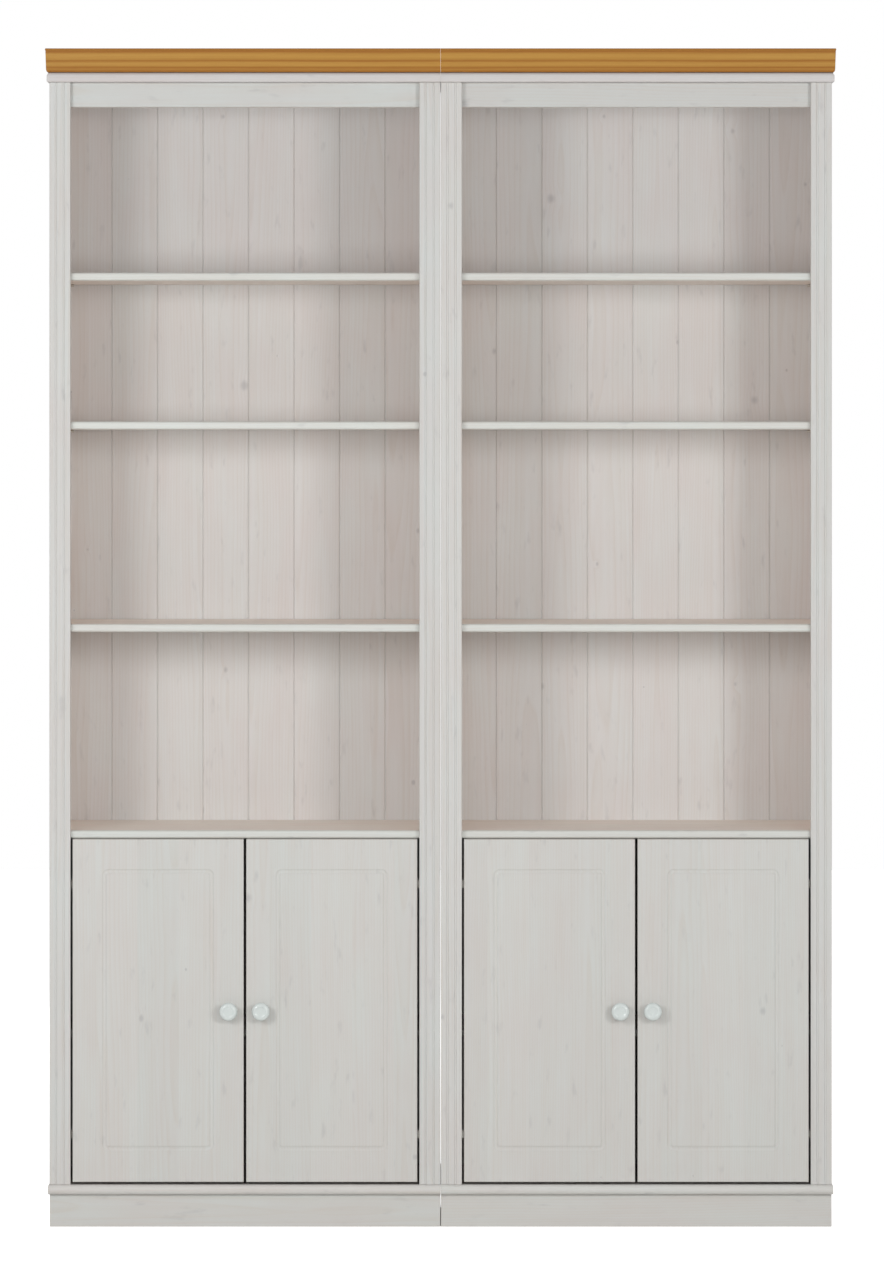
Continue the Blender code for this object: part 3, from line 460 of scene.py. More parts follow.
def glazed_pine(node, grain, whites, fade=None, stave_width=SINGLE_BOARD, ring_gap=0.0042, joint=None):
    """White glazed pine for one board. Fade gives the axis and the two places of its two whites."""
    material, tree = new_material(f"{node}_white_glazed_pine")
    wood = figure_on_board(tree, node, grain, stave_width, ring_gap, joint)
    glaze = linear(whites[0])
    if fade:
        axis, start, stop = fade
        coordinates = add_node(tree, "ShaderNodeTexCoord", {}, "Object")
        along = add_node(tree, "ShaderNodeSeparateXYZ", {0: coordinates}, axis)
        blend = add_node(tree, "ShaderNodeMapRange", {"Value": along, "From Min": start, "From Max": stop})
        mixing = {0: blend, 6: glaze, 7: linear(whites[1])}
        glaze = add_node(tree, "ShaderNodeMix", mixing, 2, data_type="RGBA")
    fibred = layered(tree, 0.0, wood, {"Ring": 0.15, "Streak": 0.30, "Fibre": 0.16})
    bare = layered(tree, fibred, wood, {"Edge": 0.10})
    through = {"Value": bare, "From Min": 0.14, "From Max": 0.50, "To Min": 0.0, "To Max": 0.30}
    through = add_node(tree, "ShaderNodeMapRange", through)
    mixing = {0: through, 6: glaze, 7: linear(WOOD_UNDER_GLAZE)}
    stained = add_node(tree, "ShaderNodeMix", mixing, 2, data_type="RGBA")
    grey = layered(tree, 0.0, wood, {"Knot": 0.42, "Smudge": 0.26})
    mixing = {0: grey, 6: stained, 7: linear(KNOT_UNDER_GLAZE)}
    knotted = add_node(tree, "ShaderNodeMix", mixing, 2, data_type="RGBA")
    cooler = {"Value": wood["Cloud"], "From Min": 0.30, "From Max": 0.70, "To Min": -0.15, "To Max": 0.85}
    cooler = add_node(tree, "ShaderNodeMapRange", cooler, clamp=False)
    cooler = layered(tree, cooler, wood, {"Tint": 0.3}, use_clamp=True)
    mixing = {0: cooler, 6: WARM_TINT, 7: COOL_TINT}
    tint = add_node(tree, "ShaderNodeMix", mixing, 2, data_type="RGBA")
    tinted = add_node(tree, "ShaderNodeVectorMath", {0: knotted, 1: tint}, operation="MULTIPLY")
    cloudy = {"Value": wood["Cloud"], "From Min": 0.25, "From Max": 0.75, "To Min": 0.975, "To Max": 1.02}
    toned = layered(tree, add_node(tree, "ShaderNodeMapRange", cloudy), wood, {"Tone": 0.028})
    colour = add_node(tree, "ShaderNodeVectorMath", {0: tinted, "Scale": toned}, operation="SCALE")
    dull = {"Value": bare, "From Min": 0.1, "From Max": 0.5, "To Min": 0.56, "To Max": 0.70}
    dull = add_node(tree, "ShaderNodeMapRange", dull)
    return join_surface(material, colour, dull, fibred, (0.35, 0.00025), SATIN)


print("whites: front", FRONT_WHITE, "inside", PAINTED_BOUNCE_INSIDE_WHITE)

# %% [markdown]
# ## Honey-coloured pine
# The crown is the same wood under a tinted varnish instead of white. Its boards are cut with
# the rings upright, so the late wood runs along them in straight, even lines. A colour ramp
# over the height gives those lines, and a little of the pine figure makes them waver; at the
# bottom the ramp also paints shade on the rounded foot. Noise drawn out along the board adds
# the thin lines between them, 1.7 mm apart.

# %% Material: honey-stained pine
HONEY_PALE = "B88833"
HONEY_DEEP = "98600F"
HONEY_RING_GAP = 0.0068
WAVER = 0.04
LINE_GRAIN = {"XY": (0.40, 0.018, 0.0017), "YX": (0.018, 0.40, 0.0017)}
# The first two stops darken the bottom of the crown: painted shade on its rounded foot. The others are the
# late wood lines.
LATE_WOOD_LINES_AND_FOOT_SHADE = (
    # share of the crown's height, how dark it is there: late wood, and painted shade at the foot
    (0.0, 0.95), (0.05, 1.0), (0.12, 0.60), (0.19, 1.0), (0.27, 0.25), (0.34, 0.10), (0.41, 0.30),
    (0.475, 0.95), (0.55, 0.30), (0.64, 0.0), (0.74, 0.10), (0.80, 0.40), (0.86, 1.1), (0.93, 0.85),
    (1.0, 0.85),
)


def honey_pine(node, grain):
    """Varnished honey-coloured pine for one length of the crown."""
    material, tree = new_material(f"{node}_honey_pine")
    wood = figure_on_board(tree, node, grain, SINGLE_BOARD, HONEY_RING_GAP)
    low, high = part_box(node)
    coordinates = add_node(tree, "ShaderNodeTexCoord", {}, "Object")
    level = add_node(tree, "ShaderNodeSeparateXYZ", {0: coordinates}, 2)
    level = add_node(tree, "ShaderNodeMapRange", {"Value": level, "From Min": low.z, "From Max": high.z})
    level = layered(tree, level, wood, {"Cloud": WAVER, "Streak": WAVER})
    level = add_node(tree, "ShaderNodeMath", {0: level, 1: WAVER}, operation="SUBTRACT")
    lines = grey_ramp(tree, level, LATE_WOOD_LINES_AND_FOOT_SHADE)
    lines.node.color_ramp.interpolation = "EASE"
    thin_lines = {"Vector": stretched(tree, coordinates, LINE_GRAIN[grain]), "Scale": 1, "Detail": 2,
                  "Roughness": 0.6}
    thin_lines = add_node(tree, "ShaderNodeTexNoise", thin_lines, "Fac")
    lined = add_node(tree, "ShaderNodeMath", {0: thin_lines, 1: 0.75, 2: lines}, operation="MULTIPLY_ADD")
    fibred = layered(tree, lined, wood, {"Streak": 0.40, "Fibre": 0.30})
    edged = layered(tree, fibred, wood, {"Edge": 0.25})
    deep = add_node(tree, "ShaderNodeMapRange", {"Value": edged, "From Min": 0.60, "From Max": 1.75})
    mixing = {0: deep, 6: linear(HONEY_PALE), 7: linear(HONEY_DEEP)}
    colour = add_node(tree, "ShaderNodeMix", mixing, 2, data_type="RGBA")
    gloss = {"Value": fibred, "From Min": 0.6, "From Max": 1.3, "To Min": 0.50, "To Max": 0.64}
    gloss = add_node(tree, "ShaderNodeMapRange", gloss)
    return join_surface(material, colour, gloss, fibred, (0.3, 0.0002), {"IOR": VARNISH_IOR})


print("late wood lines over the crown's height:", len(LATE_WOOD_LINES_AND_FOOT_SHADE))

# %% [markdown]
# ## Lacquer and nickel
# The knobs are turned wood under a thick white lacquer: glossy, a little bluer than the
# boards, with the slight unevenness of a sprayed coat. The hinges, pins and screws are steel
# with a dull nickel plate, which is metallic throughout and has a fine rolled grain.

# %% Materials: white lacquer and nickel-plated steel
SPRAY_PATCH = (0.009, 0.009, 0.009)
ROLLED_GRAIN = (0.0009, 0.012, 0.0009)
COAT_RELIEF = 0.0001


def coated(name, hexes, roughness, patch_size, bump, fixed):
    """A coat whose colour and gloss vary in soft patches: lacquer or plating."""
    material, tree = new_material(name)
    coordinates = add_node(tree, "ShaderNodeTexCoord", {}, "Object")
    noise = {"Vector": stretched(tree, coordinates, patch_size), "Scale": 1, "Detail": 3, "Roughness": 0.55}
    patches = add_node(tree, "ShaderNodeTexNoise", noise, "Fac")
    mixing = {0: patches, 6: linear(hexes[0]), 7: linear(hexes[1])}
    colour = add_node(tree, "ShaderNodeMix", mixing, 2, data_type="RGBA")
    least, most = roughness
    gloss = {"Value": patches, "From Min": 0.3, "From Max": 0.7, "To Min": least, "To Max": most}
    gloss = add_node(tree, "ShaderNodeMapRange", gloss)
    return join_surface(material, colour, gloss, patches, (bump, COAT_RELIEF), fixed)


WHITE_LACQUER = coated("sprayed_white_lacquer", ("CFD6D4", "D8DFDD"), (0.16, 0.30), SPRAY_PATCH, 0.25,
                       {"Metallic": 0.0, "Coat Weight": 0.4})
NICKEL = coated("dull_nickel_plate", ("BDB9B1", "CCC9C2"), (0.24, 0.36), ROLLED_GRAIN, 0.12,
                {"Metallic": 1.0})
print("coats:", WHITE_LACQUER.name, NICKEL.name)

# %% [markdown]
# ## Finishing a piece
# Every piece ends the same way: modifiers are run and their result kept as a plain mesh,
# round surfaces are shaded smooth while flat ones stay flat, the piece is tied to the body
# that it moves with, and the solids that it stands for are hidden. Weighted normals let the
# large flat faces win, so a sanded edge catches the light and the board beside it stays flat.

# %% Running modifiers and finishing pieces
SMOOTH_ANGLE = math.radians(32)
WELD = 0.00001
FIT_GAP = 0.0003
pieces_made = []


def kept_mesh(worker):
    """What an object's modifiers make, as a plain mesh. The object is used up."""
    graph = bpy.context.evaluated_depsgraph_get()
    result = bpy.data.meshes.new_from_object(
        worker.evaluated_get(graph), preserve_all_data_layers=True, depsgraph=graph
    )
    result.name = worker.data.name
    worker.modifiers.clear()
    bpy.data.objects.remove(worker)
    return result


def welded(mesh):
    """A mesh with its doubles merged and its faces turned outwards."""
    shape = bmesh.new()
    shape.from_mesh(mesh)
    bmesh.ops.remove_doubles(shape, verts=shape.verts, dist=WELD)
    bmesh.ops.recalc_face_normals(shape, faces=shape.faces)
    shape.to_mesh(mesh)
    shape.free()
    return mesh


def run_modifiers(mesh, *steps):
    """The mesh after some modifiers, each a kind and its settings."""
    worker = add_object(mesh.name, mesh)
    for kind, settings in steps:
        modifier = worker.modifiers.new(kind, kind)
        for setting, value in settings.items():
            setattr(modifier, setting, value)
    return kept_mesh(worker)


def cut(mesh, *tools):
    """The mesh with some other meshes cut out of it."""
    cutters = [add_object(tool.name, tool) for tool in tools]
    settings = {"operation": "DIFFERENCE", "solver": "EXACT"}
    mesh = run_modifiers(mesh, *[("BOOLEAN", {**settings, "object": cutter}) for cutter in cutters])
    for cutter in cutters:
        bpy.data.objects.remove(cutter)
    return mesh


def grow(tree, mesh, **sizes):
    """Runs a geometry tree on a mesh, with its named inputs set, and keeps a plain mesh."""
    worker = add_object(mesh.name, mesh)
    modifier = worker.modifiers.new(tree.name, "NODES")
    modifier.node_group = tree
    for socket in tree.interface.items_tree:
        key = socket.name.lower().replace(" ", "_")
        if socket.in_out == "INPUT" and key in sizes:
            modifier[socket.identifier] = sizes[key]
    return welded(kept_mesh(worker))


def finish_piece(name, mesh, body, slot, *nodes, material=None):
    """Shades a mesh and makes it a piece on a body, standing for some CAD nodes."""
    mesh.shade_smooth()
    mesh.set_sharp_from_angle(angle=SMOOTH_ANGLE)
    mesh = run_modifiers(mesh, ("WEIGHTED_NORMAL", {"keep_sharp": True, "weight": 50}))
    if material:
        mesh.materials.clear()
        mesh.materials.append(material)
    mesh.name = name
    piece = add_object(name, mesh)
    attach(piece, body)
    if nodes:
        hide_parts(*nodes)
    pieces_made.append(name)


print("surfaces are smooth up to", round(math.degrees(SMOOTH_ANGLE)), "degrees")

# %% [markdown]
# ## Sawn and sanded boards
# The plinth, the shelves, the rail and the moulded top and bottom boards are straight boards.
# Each starts as a block of the solid's size. A Bevel modifier reads a weight on every edge:
# the moulded edges get their own radius and all the others a fine sanded arris.

# %% Boards with rounded edges
ARRIS, BEVEL_STEPS = 0.0008, 8
SHELF_ROUND, RAIL_ROUND, PLINTH_ROUND = 0.0044, 0.0026, 0.0012
BASE_NOSE, BASE_END = 0.0076, 0.0019
TOP_NOSE, TOP_UNDER = 0.007, 0.0021
BOARD_STAVE, PANEL_STAVE = 0.07, 0.072
SHELF_FADE, RAIL_FADE, BASE_FADE = (0.002, 0.008), (0.004, 0.010), (0.002, 0.010)
# One white glaze throughout: the plinth's white is set darker to paint the shade near the floor, and the
# shelf fronts' white lighter to paint the light on them.
PLINTH_WHITE = "CACBC9"
SHELF_FRONT_WHITE = "D8DBD8"
BASE_WHITE = "D3D3D1"
TOP_WHITE = "CFCDCE"
SHELVES = ("top_shelf", "second_shelf", "third_shelf", "middle_shelf", "cupboard_shelf")
FRONT_ROUNDS = {(0, -1, 1): SHELF_ROUND, (0, -1, -1): SHELF_ROUND}


def rounded_block(name, low, high, radii):
    """A block between two corners. Radii names edges by the signs of their middles."""
    size, middle = high - low, (low + high) / 2
    mesh = bpy.data.meshes.new(name)
    shape = bmesh.new()
    bmesh.ops.create_cube(shape, size=1, matrix=Matrix.LocRotScale(middle, None, size))
    weight = shape.edges.layers.float.new("bevel_weight_edge")
    widest = max([ARRIS, *radii.values()])
    for edge in shape.edges:
        offset = (edge.verts[0].co + edge.verts[1].co) / 2 - middle
        signs = tuple(round(2 * along / side) for along, side in zip(offset, size))
        edge[weight] = radii.get(signs, ARRIS) / widest
    shape.to_mesh(mesh)
    shape.free()
    settings = {"width": widest, "segments": BEVEL_STEPS, "limit_method": "WEIGHT"}
    return run_modifiers(mesh, ("BEVEL", settings))


def board(node, grain, radii, whites, fade=None, stave_width=SINGLE_BOARD):
    """A glazed board that stands for one CAD node."""
    material = glazed_pine(node, grain, whites, fade, stave_width)
    finish_piece(f"{node}_board", rounded_block(node, *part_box(node), radii), "cabinet",
                 "white_glazed_pine", node, material=material)


# Behind their fronts, the shelves, the header rail and the bottom board take the paler inside white, which
# paints bounce light into the shaded cabinet.
for unit, hand in UNITS:
    for part in SHELVES:
        node = f"{unit}_{part}"
        fade = fade_behind(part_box(node)[0].y, SHELF_FADE)
        board(node, "XZ", FRONT_ROUNDS, (SHELF_FRONT_WHITE, PAINTED_BOUNCE_INSIDE_WHITE), fade, BOARD_STAVE)
    node = f"{unit}_header_rail"
    fade = fade_behind(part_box(node)[0].y, RAIL_FADE)
    board(node, "XY", {(0, -1, -1): RAIL_ROUND}, (FRONT_WHITE, PAINTED_BOUNCE_INSIDE_WHITE), fade)
    ends = {(-1, -1, 0): PLINTH_ROUND, (1, -1, 0): PLINTH_ROUND}
    board(f"{unit}_plinth_front", "XY", ends, (PLINTH_WHITE,))
    for part in ("plinth_inner", "plinth_outer"):
        board(f"{unit}_{part}", "YX", {}, (PLINTH_WHITE,))
    radii = {(0, -1, 1): BASE_NOSE, (0, -1, -1): BASE_NOSE, (hand, 0, 1): BASE_END, (hand, 0, -1): BASE_END}
    fade = fade_behind(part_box(f"{unit}_outer_door")[1].y, BASE_FADE)
    board(f"{unit}_bottom_board", "XZ", radii, (BASE_WHITE, PAINTED_BOUNCE_INSIDE_WHITE), fade, BOARD_STAVE)
    radii = {(0, -1, 1): TOP_NOSE, (0, -1, -1): TOP_UNDER, (hand, 0, 1): TOP_NOSE, (hand, 0, -1): TOP_UNDER}
    board(f"{unit}_top_board", "XZ", radii, (TOP_WHITE,), None, BOARD_STAVE)
print("boards:", len(pieces_made))

# %% [markdown]
# ## Lengths of one section
# Stiles, side panels, back boards and the crown are all milled: one cross-section along
# their whole length. A geometry tree does what the moulder does. It fills the outline, draws
# it out along Z and closes the end that it started from. It can also slant one end for a
# mitre, where what stands out further also reaches further.

# %% Geometry tree: run of a section


def geometry_tree(name, *sizes):
    """A geometry tree that takes a mesh, some sizes and a finish."""
    takes = [("Geometry", "Geometry"), *sizes, ("Finish", "Material")]
    return new_tree(name, "GeometryNodeTree", takes, [("Geometry", "Geometry")])


def end_tree(tree, geometry, given, gives):
    """Ends a geometry tree: instances are made real and the finish is put on."""
    real = add_node(tree, "GeometryNodeRealizeInstances", {0: geometry})
    coloured = add_node(tree, "GeometryNodeSetMaterial", {0: real, "Material": given["Finish"]})
    tree.links.new(coloured, gives[0])


run_tree, given, gives = geometry_tree(
    "run_of_a_section", ("Length", "Float"), ("Slant", "Float"), ("Joint gap", "Float")
)
outline = add_node(run_tree, "GeometryNodeMeshToCurve", {0: given["Geometry"]})
filled = add_node(run_tree, "GeometryNodeFillCurve", {0: outline}, mode="NGONS")
half_back = add_node(run_tree, "ShaderNodeMath", {0: given["Length"], 1: -0.5}, operation="MULTIPLY")
start_place = add_node(run_tree, "ShaderNodeCombineXYZ", {2: half_back})
foot = add_node(run_tree, "GeometryNodeTransform", {0: filled, "Translation": start_place})
whole_way = add_node(run_tree, "ShaderNodeCombineXYZ", {2: given["Length"]})
drawn_out = {0: foot, "Offset": whole_way, "Offset Scale": 1, "Individual": False}
drawn_out = add_node(run_tree, "GeometryNodeExtrudeMesh", drawn_out)
foot_face = add_node(run_tree, "GeometryNodeFlipFaces", {0: foot})
closed = add_node(run_tree, "GeometryNodeJoinGeometry", {0: [foot_face, drawn_out]})
merged = add_node(run_tree, "GeometryNodeMergeByDistance", {0: closed, "Distance": WELD})
where = add_node(run_tree, "GeometryNodeInputPosition", {})
where = add_node(run_tree, "ShaderNodeSeparateXYZ", {0: where}, None)
beyond = add_node(run_tree, "ShaderNodeMath", {0: where[2], 1: given["Slant"]}, operation="MULTIPLY")
at_end = add_node(run_tree, "ShaderNodeMath", {0: beyond, 1: 0.0}, operation="GREATER_THAN")
slide = add_node(run_tree, "ShaderNodeMath", {0: where[0], 1: given["Joint gap"]}, operation="SUBTRACT")
for share in (given["Slant"], at_end):
    slide = add_node(run_tree, "ShaderNodeMath", {0: slide, 1: share}, operation="MULTIPLY")
slanted = add_node(run_tree, "ShaderNodeCombineXYZ", {2: slide})
mitred = add_node(run_tree, "GeometryNodeSetPosition", {0: merged, "Offset": slanted})
end_tree(run_tree, mitred, given, gives)


def outline_edges(name, loops):
    """Closed outlines in X and Y as a mesh of edges, ready to be drawn out."""
    points, edges = [], []
    for loop in loops:
        first = len(points)
        points += [(x, y, 0) for x, y in loop]
        edges += [(first + count, first + (count + 1) % len(loop)) for count in range(len(loop))]
    mesh = bpy.data.meshes.new(name)
    mesh.from_pydata(points, edges, [])
    return mesh


def upright(node, loops, material):
    """A section drawn out upright, as long as its CAD node is tall."""
    low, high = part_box(node)
    milled = grow(run_tree, outline_edges(node, loops), length=high.z - low.z, finish=material)
    milled.transform(Matrix.Translation((0, 0, (low.z + high.z) / 2)))
    return milled


def arc(middle, radii, start, end, steps):
    """Points along an elliptical arc, angles in degrees from +X towards +Y."""
    angles = [math.radians(start + (end - start) * step / steps) for step in range(steps + 1)]
    return [(middle[0] + radii[0] * math.cos(a), middle[1] + radii[1] * math.sin(a)) for a in angles]


def groove_cutter(width, depth):
    """The radius of the round cutter that leaves a groove this wide and this deep."""
    return (width**2 / 4 + depth**2) / (2 * depth)


print("run of a section:", len(run_tree.nodes), "nodes")

# %% [markdown]
# ## Fluted stiles
# A strip is glued on the front edge of every side panel. Two shallow coves run down it.

# %% Stiles
FLUTE_SPACING, FLUTE_WIDTH, FLUTE_DEPTH = 0.0139, 0.0040, 0.0018
STILE_ROUND, STILE_RING_GAP = 0.00155, 0.005
COVE = groove_cutter(FLUTE_WIDTH, FLUTE_DEPTH)
COVE_SPREAD = math.degrees(math.asin(FLUTE_WIDTH / 2 / COVE))
STILE_WHITE = "CFD0CF"


def stile_outline(low, high):
    """The cross-section of a stile: rounded front corners and two coves."""
    middle = (low.x + high.x) / 2
    rounding = (STILE_ROUND, STILE_ROUND)
    front = low.y + STILE_ROUND
    loop = [(low.x, high.y), *arc((low.x + STILE_ROUND, front), rounding, 180, 270, 6)]
    for offset in (-FLUTE_SPACING / 2, FLUTE_SPACING / 2):
        bottom = (middle + offset, low.y + FLUTE_DEPTH - COVE)
        loop += arc(bottom, (COVE, COVE), 90 + COVE_SPREAD, 90 - COVE_SPREAD, 12)
    return [*loop, *arc((high.x - STILE_ROUND, front), rounding, 270, 360, 6), (high.x, high.y)]


for unit, _ in UNITS:
    for part in ("inner_stile", "outer_stile"):
        node = f"{unit}_{part}"
        material = glazed_pine(node, "ZY", (STILE_WHITE,), ring_gap=STILE_RING_GAP)
        milled = upright(node, [stile_outline(*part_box(node))], material)
        finish_piece(f"{node}_moulding", milled, "cabinet", "white_glazed_pine", node)
print("stiles:", pieces_made[-4:])

# %% [markdown]
# ## Tongue-and-groove back
# Eight narrow boards close the back. Each has a tongue on one edge and a groove in the
# other, and a small chamfer on the front of both, so that a thin dark V shows at each joint.
# The boards are cut at the sides where they enter the rebates.

# %% Back boards
BACK_BOARD_WIDTH, BACK_RING_GAP = 0.08157, 0.0046
JOINT_SHIFT, NARROWEST_STRIP = 0.00345, 0.0105
V_HALF, V_DEPTH, JOINT_OPEN = 0.00155, 0.0013, 0.0001
TONGUE_LENGTH, TONGUE_THICK, TONGUE_PLAY = 0.0042, 0.0030, 0.0002
# Paler than the front whites, to paint extra light into the shade on the back.
BACK_WHITE = "D6D6D6"


def back_board_outline(start, end, front, rear, tongue, groove):
    """One board's cross-section. A tongue stands out at its end, a groove is cut at its start."""
    middle = (front + V_DEPTH + rear) / 2
    half = TONGUE_THICK / 2
    cheek, tip, slack = end - JOINT_OPEN / 2, end + TONGUE_LENGTH, half + TONGUE_PLAY
    loop = [(start + V_HALF - JOINT_OPEN, front) if groove else (start, front)]
    if tongue:
        loop += [(end - V_HALF + JOINT_OPEN, front), (cheek, front + V_DEPTH), (cheek, middle - half)]
        loop += [(tip, middle - half), (tip, middle + half), (cheek, middle + half), (cheek, rear)]
    else:
        loop += [(end, front), (end, rear)]
    if groove:
        wall, bed = start + JOINT_OPEN / 2, start + TONGUE_LENGTH + TONGUE_PLAY
        loop += [(wall, rear), (wall, middle + slack), (bed, middle + slack), (bed, middle - slack)]
        loop += [(wall, middle - slack), (wall, front + V_DEPTH)]
    else:
        loop += [(start, rear)]
    return loop


for unit, hand in UNITS:
    node = f"{unit}_back"
    low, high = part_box(node)
    first_joint = hand * (abs(low.x) + abs(high.x)) / 2 + hand * JOINT_SHIFT
    joints = [first_joint + count * BACK_BOARD_WIDTH for count in range(-6, 7)]
    joints = [x for x in joints if low.x + NARROWEST_STRIP < x < high.x - NARROWEST_STRIP]
    marks = [low.x, *joints, high.x]
    loops = [
        back_board_outline(start, end, low.y, high.y, end is not marks[-1], start is not marks[0])
        for start, end in zip(marks, marks[1:])
    ]
    half_board_on = first_joint + BACK_BOARD_WIDTH / 2
    material = glazed_pine(node, "ZY", (BACK_WHITE,), None, BACK_BOARD_WIDTH, BACK_RING_GAP, half_board_on)
    finish_piece(f"{node}_boards", upright(node, loops, material), "cabinet", "white_glazed_pine", node)
    print(node, "boards:", len(loops))

# %% [markdown]
# ## Honey crown
# The crown leans out a little between a rounded foot and a narrow lip. Its front and its
# return meet in a mitre at the outer corner of each bookcase.

# %% Crown
CROWN_FOOT_SETBACK, CROWN_BULGE, CROWN_FOOT_HEIGHT = 0.0016, 0.0027, 0.0062
CROWN_LEAN, CROWN_LIP, CROWN_LIP_HEIGHT = 0.0010, 0.0006, 0.0034
CROWN_ROUND, CROWN_THICK = 0.00115, 0.0185
CROWN_REACH = CROWN_BULGE - CROWN_FOOT_SETBACK + CROWN_LEAN + CROWN_LIP
MITRE_GAP = FIT_GAP / math.sqrt(2)


def crown_outline(height):
    """The crown's cross-section: X is out from the top board's nose, Y is up from its foot."""
    foot = -CROWN_FOOT_SETBACK
    loop = arc((foot, CROWN_FOOT_HEIGHT), (CROWN_BULGE, CROWN_FOOT_HEIGHT), 270, 360, 10)
    lip = height - CROWN_LIP_HEIGHT
    loop += [(CROWN_REACH - CROWN_LIP, lip), (CROWN_REACH - CROWN_LIP / 3, lip + CROWN_LIP / 3),
             (CROWN_REACH, lip + CROWN_LIP)]
    top = (CROWN_REACH - CROWN_ROUND, height - CROWN_ROUND)
    loop += arc(top, (CROWN_ROUND, CROWN_ROUND), 0, 90, 6)
    return [*loop, (foot - CROWN_THICK, height), (foot - CROWN_THICK, 0)]


for unit, hand in UNITS:
    low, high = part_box(f"{unit}_crown_front")
    board_low, board_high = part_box(f"{unit}_top_board")
    middle = ((board_low.x + board_high.x) / 2, (board_low.y + board_high.y) / 2)
    end_face = board_high.x if hand > 0 else board_low.x
    for part, grain, span, slant, turn, place in (
        # piece, grain, length, mitred end, how the section is turned, where it is put
        ("front", "XY", board_high.x - board_low.x, -hand, ((0, 0, -1), (-1, 0, 0), (0, 1, 0)),
         (middle[0], board_low.y, low.z)),
        ("return", "YX", board_high.y - board_low.y, hand, ((hand, 0, 0), (0, 0, -hand), (0, 1, 0)),
         (end_face, middle[1], low.z)),
    ):
        node = f"{unit}_crown_{part}"
        milled = grow(run_tree, outline_edges(node, [crown_outline(high.z - low.z)]), length=span,
                      slant=float(slant), joint_gap=MITRE_GAP, finish=honey_pine(node, grain))
        milled.transform(Matrix.Translation(place) @ Matrix(turn).to_4x4())
        finish_piece(f"{node}_moulding", milled, "cabinet", "honey_pine", node)
print("crown:", pieces_made[-4:])

# %% [markdown]
# ## Fittings set on points
# Shelf pins, screws and the rows of pin holes are one small shape set down many times. The
# next tree puts a fitting on every vertex of a mesh of points, turns it to face the way that
# the point's "facing" attribute says, and gives it a random turn about its own axis.

# %% Geometry tree: fittings on points
OVERRUN = 0.004
TURN_SEED = 7
fit_tree, given, gives = geometry_tree(
    "fittings_on_points", ("Fitting", "Object"), ("Most turn", "Float"), ("Seed", "Int")
)
facing = {"Name": "facing"}
facing = add_node(fit_tree, "GeometryNodeInputNamedAttribute", facing, data_type="FLOAT_VECTOR")
turned = add_node(fit_tree, "FunctionNodeAlignRotationToVector", {"Vector": facing}, axis="Z")
twist = {2: 0.0, 3: given["Most turn"], "Seed": given["Seed"]}
twist = add_node(fit_tree, "FunctionNodeRandomValue", twist, 1, data_type="FLOAT")
spin = add_node(fit_tree, "FunctionNodeAxisAngleToRotation", {"Axis": (0, 0, 1), "Angle": twist})
turned = add_node(fit_tree, "FunctionNodeRotateRotation", {0: turned, 1: spin}, rotation_space="LOCAL")
fitting = add_node(fit_tree, "GeometryNodeObjectInfo", {0: given["Fitting"]}, "Geometry")
placed = {"Points": given["Geometry"], "Instance": fitting, "Rotation": turned}
placed = add_node(fit_tree, "GeometryNodeInstanceOnPoints", placed)
end_tree(fit_tree, placed, given, gives)


def turned_mesh(name, profile, steps):
    """A shape turned on the lathe about Z, from (radius, height) pairs."""
    mesh = bpy.data.meshes.new(name)
    points = [(radius, 0, height) for radius, height in profile]
    mesh.from_pydata(points, [(start, start + 1) for start in range(len(points) - 1)], [])
    settings = {"steps": steps, "render_steps": steps, "use_merge_vertices": True, "merge_threshold": WELD}
    return welded(run_modifiers(mesh, ("SCREW", settings)))


def drill_bit(name, radius, depth, steps, overrun=OVERRUN):
    """A plain round cutter that reaches a depth below the face and stands a little above it."""
    return turned_mesh(name, [(0, -depth), (radius, -depth), (radius, overrun), (0, overrun)], steps)


def fittings(name, spots, shape, most_turn=0.0, material=None):
    """The mesh of one shape set on several spots, each a place and the way that it faces."""
    points = bpy.data.meshes.new(name)
    points.from_pydata([place for place, _ in spots], [], [])
    facing = points.attributes.new("facing", "FLOAT_VECTOR", "POINT")
    for spot, (_, way) in zip(facing.data, spots):
        spot.vector = way
    pattern = add_object(f"{name}_pattern", shape)
    made = grow(fit_tree, points, fitting=pattern, most_turn=most_turn, seed=TURN_SEED, finish=material)
    bpy.data.objects.remove(pattern)
    return made


def steel_fittings(name, spots, shape, most_turn, body="cabinet"):
    """Fittings in nickel-plated steel, as a piece of their own."""
    finish_piece(name, fittings(name, spots, shape, most_turn, NICKEL), body, "nickel_plated_steel")


print("fittings on points:", len(fit_tree.nodes), "nodes")

# %% [markdown]
# ## Side panels, pin holes and shelf pins
# A side panel is glued up from staves and rebated at the rear for the back. Shelf pins sit
# in holes drilled 32 mm apart, so a shelf can be moved up or down. The holes are one Boolean
# cut with a mesh of small drills, and the pins are a separate piece in steel.

# %% Side panels and pins
SIDE_THICK, BACK_REBATE, BACK_THICK, SIDE_FADE = 0.018, 0.0081, 0.010, 0.004
PIN_RADIUS, PIN_FROM_FRONT, PIN_FROM_REAR, PIN_TURN = 0.0025, 0.041, 0.045, 6.0
HOLE_STEP, HOLE_DEPTH, HOLE_RADIUS = 0.032, 0.011, 0.0026
LOOSE_SHELVES = [shelf for shelf in SHELVES if shelf != "middle_shelf"]
